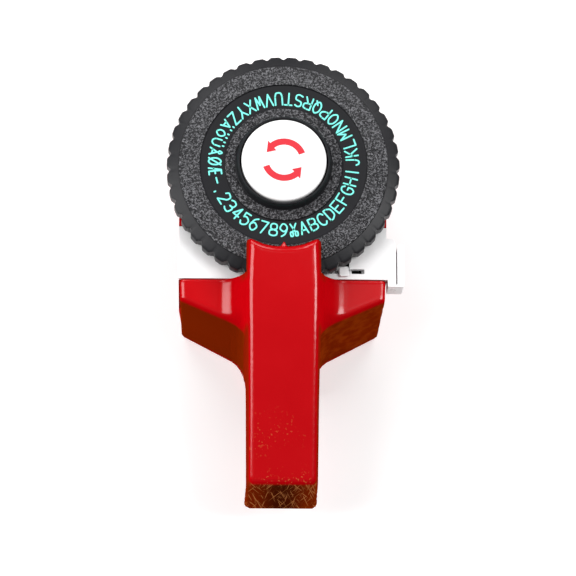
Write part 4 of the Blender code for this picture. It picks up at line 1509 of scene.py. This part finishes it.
@dataclass
class TriggerSpring:
    """Compression spring between the lever and the handle's roof."""

    y: float = -52.0
    low: float = 22.3
    high: float = 41.65
    radius: float = 3.2
    wire: float = 0.45
    turns: float = 6.0
    closed: float = 0.75
    keep: float = 0.68
    points_per_turn: int = 28
    wire_sides: int = 10

    def build(self) -> None:
        """Wind the wire, with closed end coils."""
        rings = []
        steps, sides = int(self.turns * self.points_per_turn), self.wire_sides
        for i in range(steps + 1):
            turned_so_far = self.turns * i / steps
            angle = 2 * math.pi * turned_so_far
            rise = min(max((turned_so_far - self.closed) / (self.turns - 2 * self.closed), 0.0), 1.0)
            z = self.low + self.wire + (self.high - self.low - 2 * self.wire) * rise
            out = Vector((math.cos(angle), math.sin(angle), 0.0))
            centre = Vector((0.0, self.y, z)) + out * self.radius
            ring = []
            for k in range(sides):
                a = 2 * math.pi * k / sides
                ring.append(tuple(centre + (out * math.cos(a) + Vector((0, 0, math.sin(a)))) * self.wire))
            rings.append(ring)
        points = [p for ring in rings for p in ring]
        faces: list[Sequence[int]] = [list(range(sides))]
        for i in range(steps):
            for k in range(sides):
                j = (k + 1) % sides
                faces.append((i * sides + k, i * sides + j, (i + 1) * sides + j, (i + 1) * sides + k))
        faces.append(list(range(steps * sides, (steps + 1) * sides)))
        mesh = mesh_from("spring", points, faces)
        piece = finish_piece("trigger_spring_wound", mesh, SPRING, Shading.SMOOTH)
        settle(piece, "housing", "spring_steel", "trigger_spring")
        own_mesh(piece)


# ------------------------------------------------------------------------------ studio
@dataclass
class Studio:
    """Floor, lights and camera."""

    tilt: float = 15.59
    lean: float = 1.8
    distance: float = 900.0
    target: Point = (1.3, -37.35, 43.0)
    lens: float = 193.9

    def floor(self) -> None:
        """A pale floor, well wider than the view."""
        half = 900.0
        corners = [(-half, -half, -0.05), (half, -half, -0.05), (half, half, -0.05), (-half, half, -0.05)]
        piece = finish_piece("studio_floor", mesh_from("studio_floor", corners, [(0, 1, 2, 3)]), FLOOR,
                             Shading.FLAT)

    def light(self, name: str, place: Point, size: Point, power: float) -> None:
        """Hang one soft box that looks at the maker's middle.

        Args:
            name: the light's name.
            place: where it hangs, in millimetres.
            size: its two sides.
            power: its power in watts.
        """
        data = bpy.data.lights.new(name, "AREA")
        data.shape = "RECTANGLE"
        data.size, data.size_y = size[0] * MM, size[1] * MM
        data.energy = power
        lamp = bpy.data.objects.new(name, data)
        bpy.context.scene.collection.objects.link(lamp)
        lamp.location = Vector(place) * MM
        towards = Vector((0.0, -30.0, 30.0)) * MM - lamp.location
        lamp.rotation_euler = towards.to_track_quat("-Z", "Y").to_euler()

    def camera(self) -> None:
        """A long lens above and a little behind the handle."""
        slopes = [math.tan(math.radians(angle)) for angle in (self.lean, self.tilt)]
        back = Vector((-slopes[0], -slopes[1], 1.0)).normalized()
        data = bpy.data.cameras.new("camera")
        data.lens = self.lens
        data.sensor_width = 36.0
        data.clip_start, data.clip_end = 0.01, 10.0
        eye = bpy.data.objects.new("camera", data)
        bpy.context.scene.collection.objects.link(eye)
        eye.location = (Vector(self.target) + back * self.distance) * MM
        up = (Vector((0.0, 1.0, 0.0)) - back * back.y).normalized()
        right = up.cross(back)
        eye.rotation_euler = Matrix((right, up, back)).transposed().to_euler()
        bpy.context.scene.camera = eye

    def build(self) -> None:
        """Set up the whole studio."""
        self.floor()
        self.light("left_soft_box", (-450.0, -20.0, 410.0), (360.0, 600.0), 3.2)
        self.light("right_soft_box", (360.0, -20.0, 500.0), (260.0, 320.0), 2.0)
        self.light("back_left_soft_box", (-230.0, 430.0, 430.0), (340.0, 340.0), 1.3)
        self.light("back_right_soft_box", (230.0, 430.0, 430.0), (340.0, 340.0), 1.3)
        self.light("overhead_panel", (150.0, 100.0, 800.0), (240.0, 200.0), 0.09)
        world = bpy.data.worlds.new("studio")
        world.use_nodes = True
        sky = world.node_tree.nodes["Background"]
        sky.inputs["Color"].default_value = linear("ffffff")
        sky.inputs["Strength"].default_value = 0.07
        bpy.context.scene.world = world
        bpy.context.scene.view_settings.view_transform = "Standard"
        self.camera()


def main() -> None:
    """Build every sub-assembly, in order."""
    logging.basicConfig(level=logging.INFO, format="%(name)s: %(message)s")
    Studio().build()
    HandleShell().build()
    Dial().build()
    Carried().build()
    TriggerSpring().build()


if __name__ == "__main__":
    main()
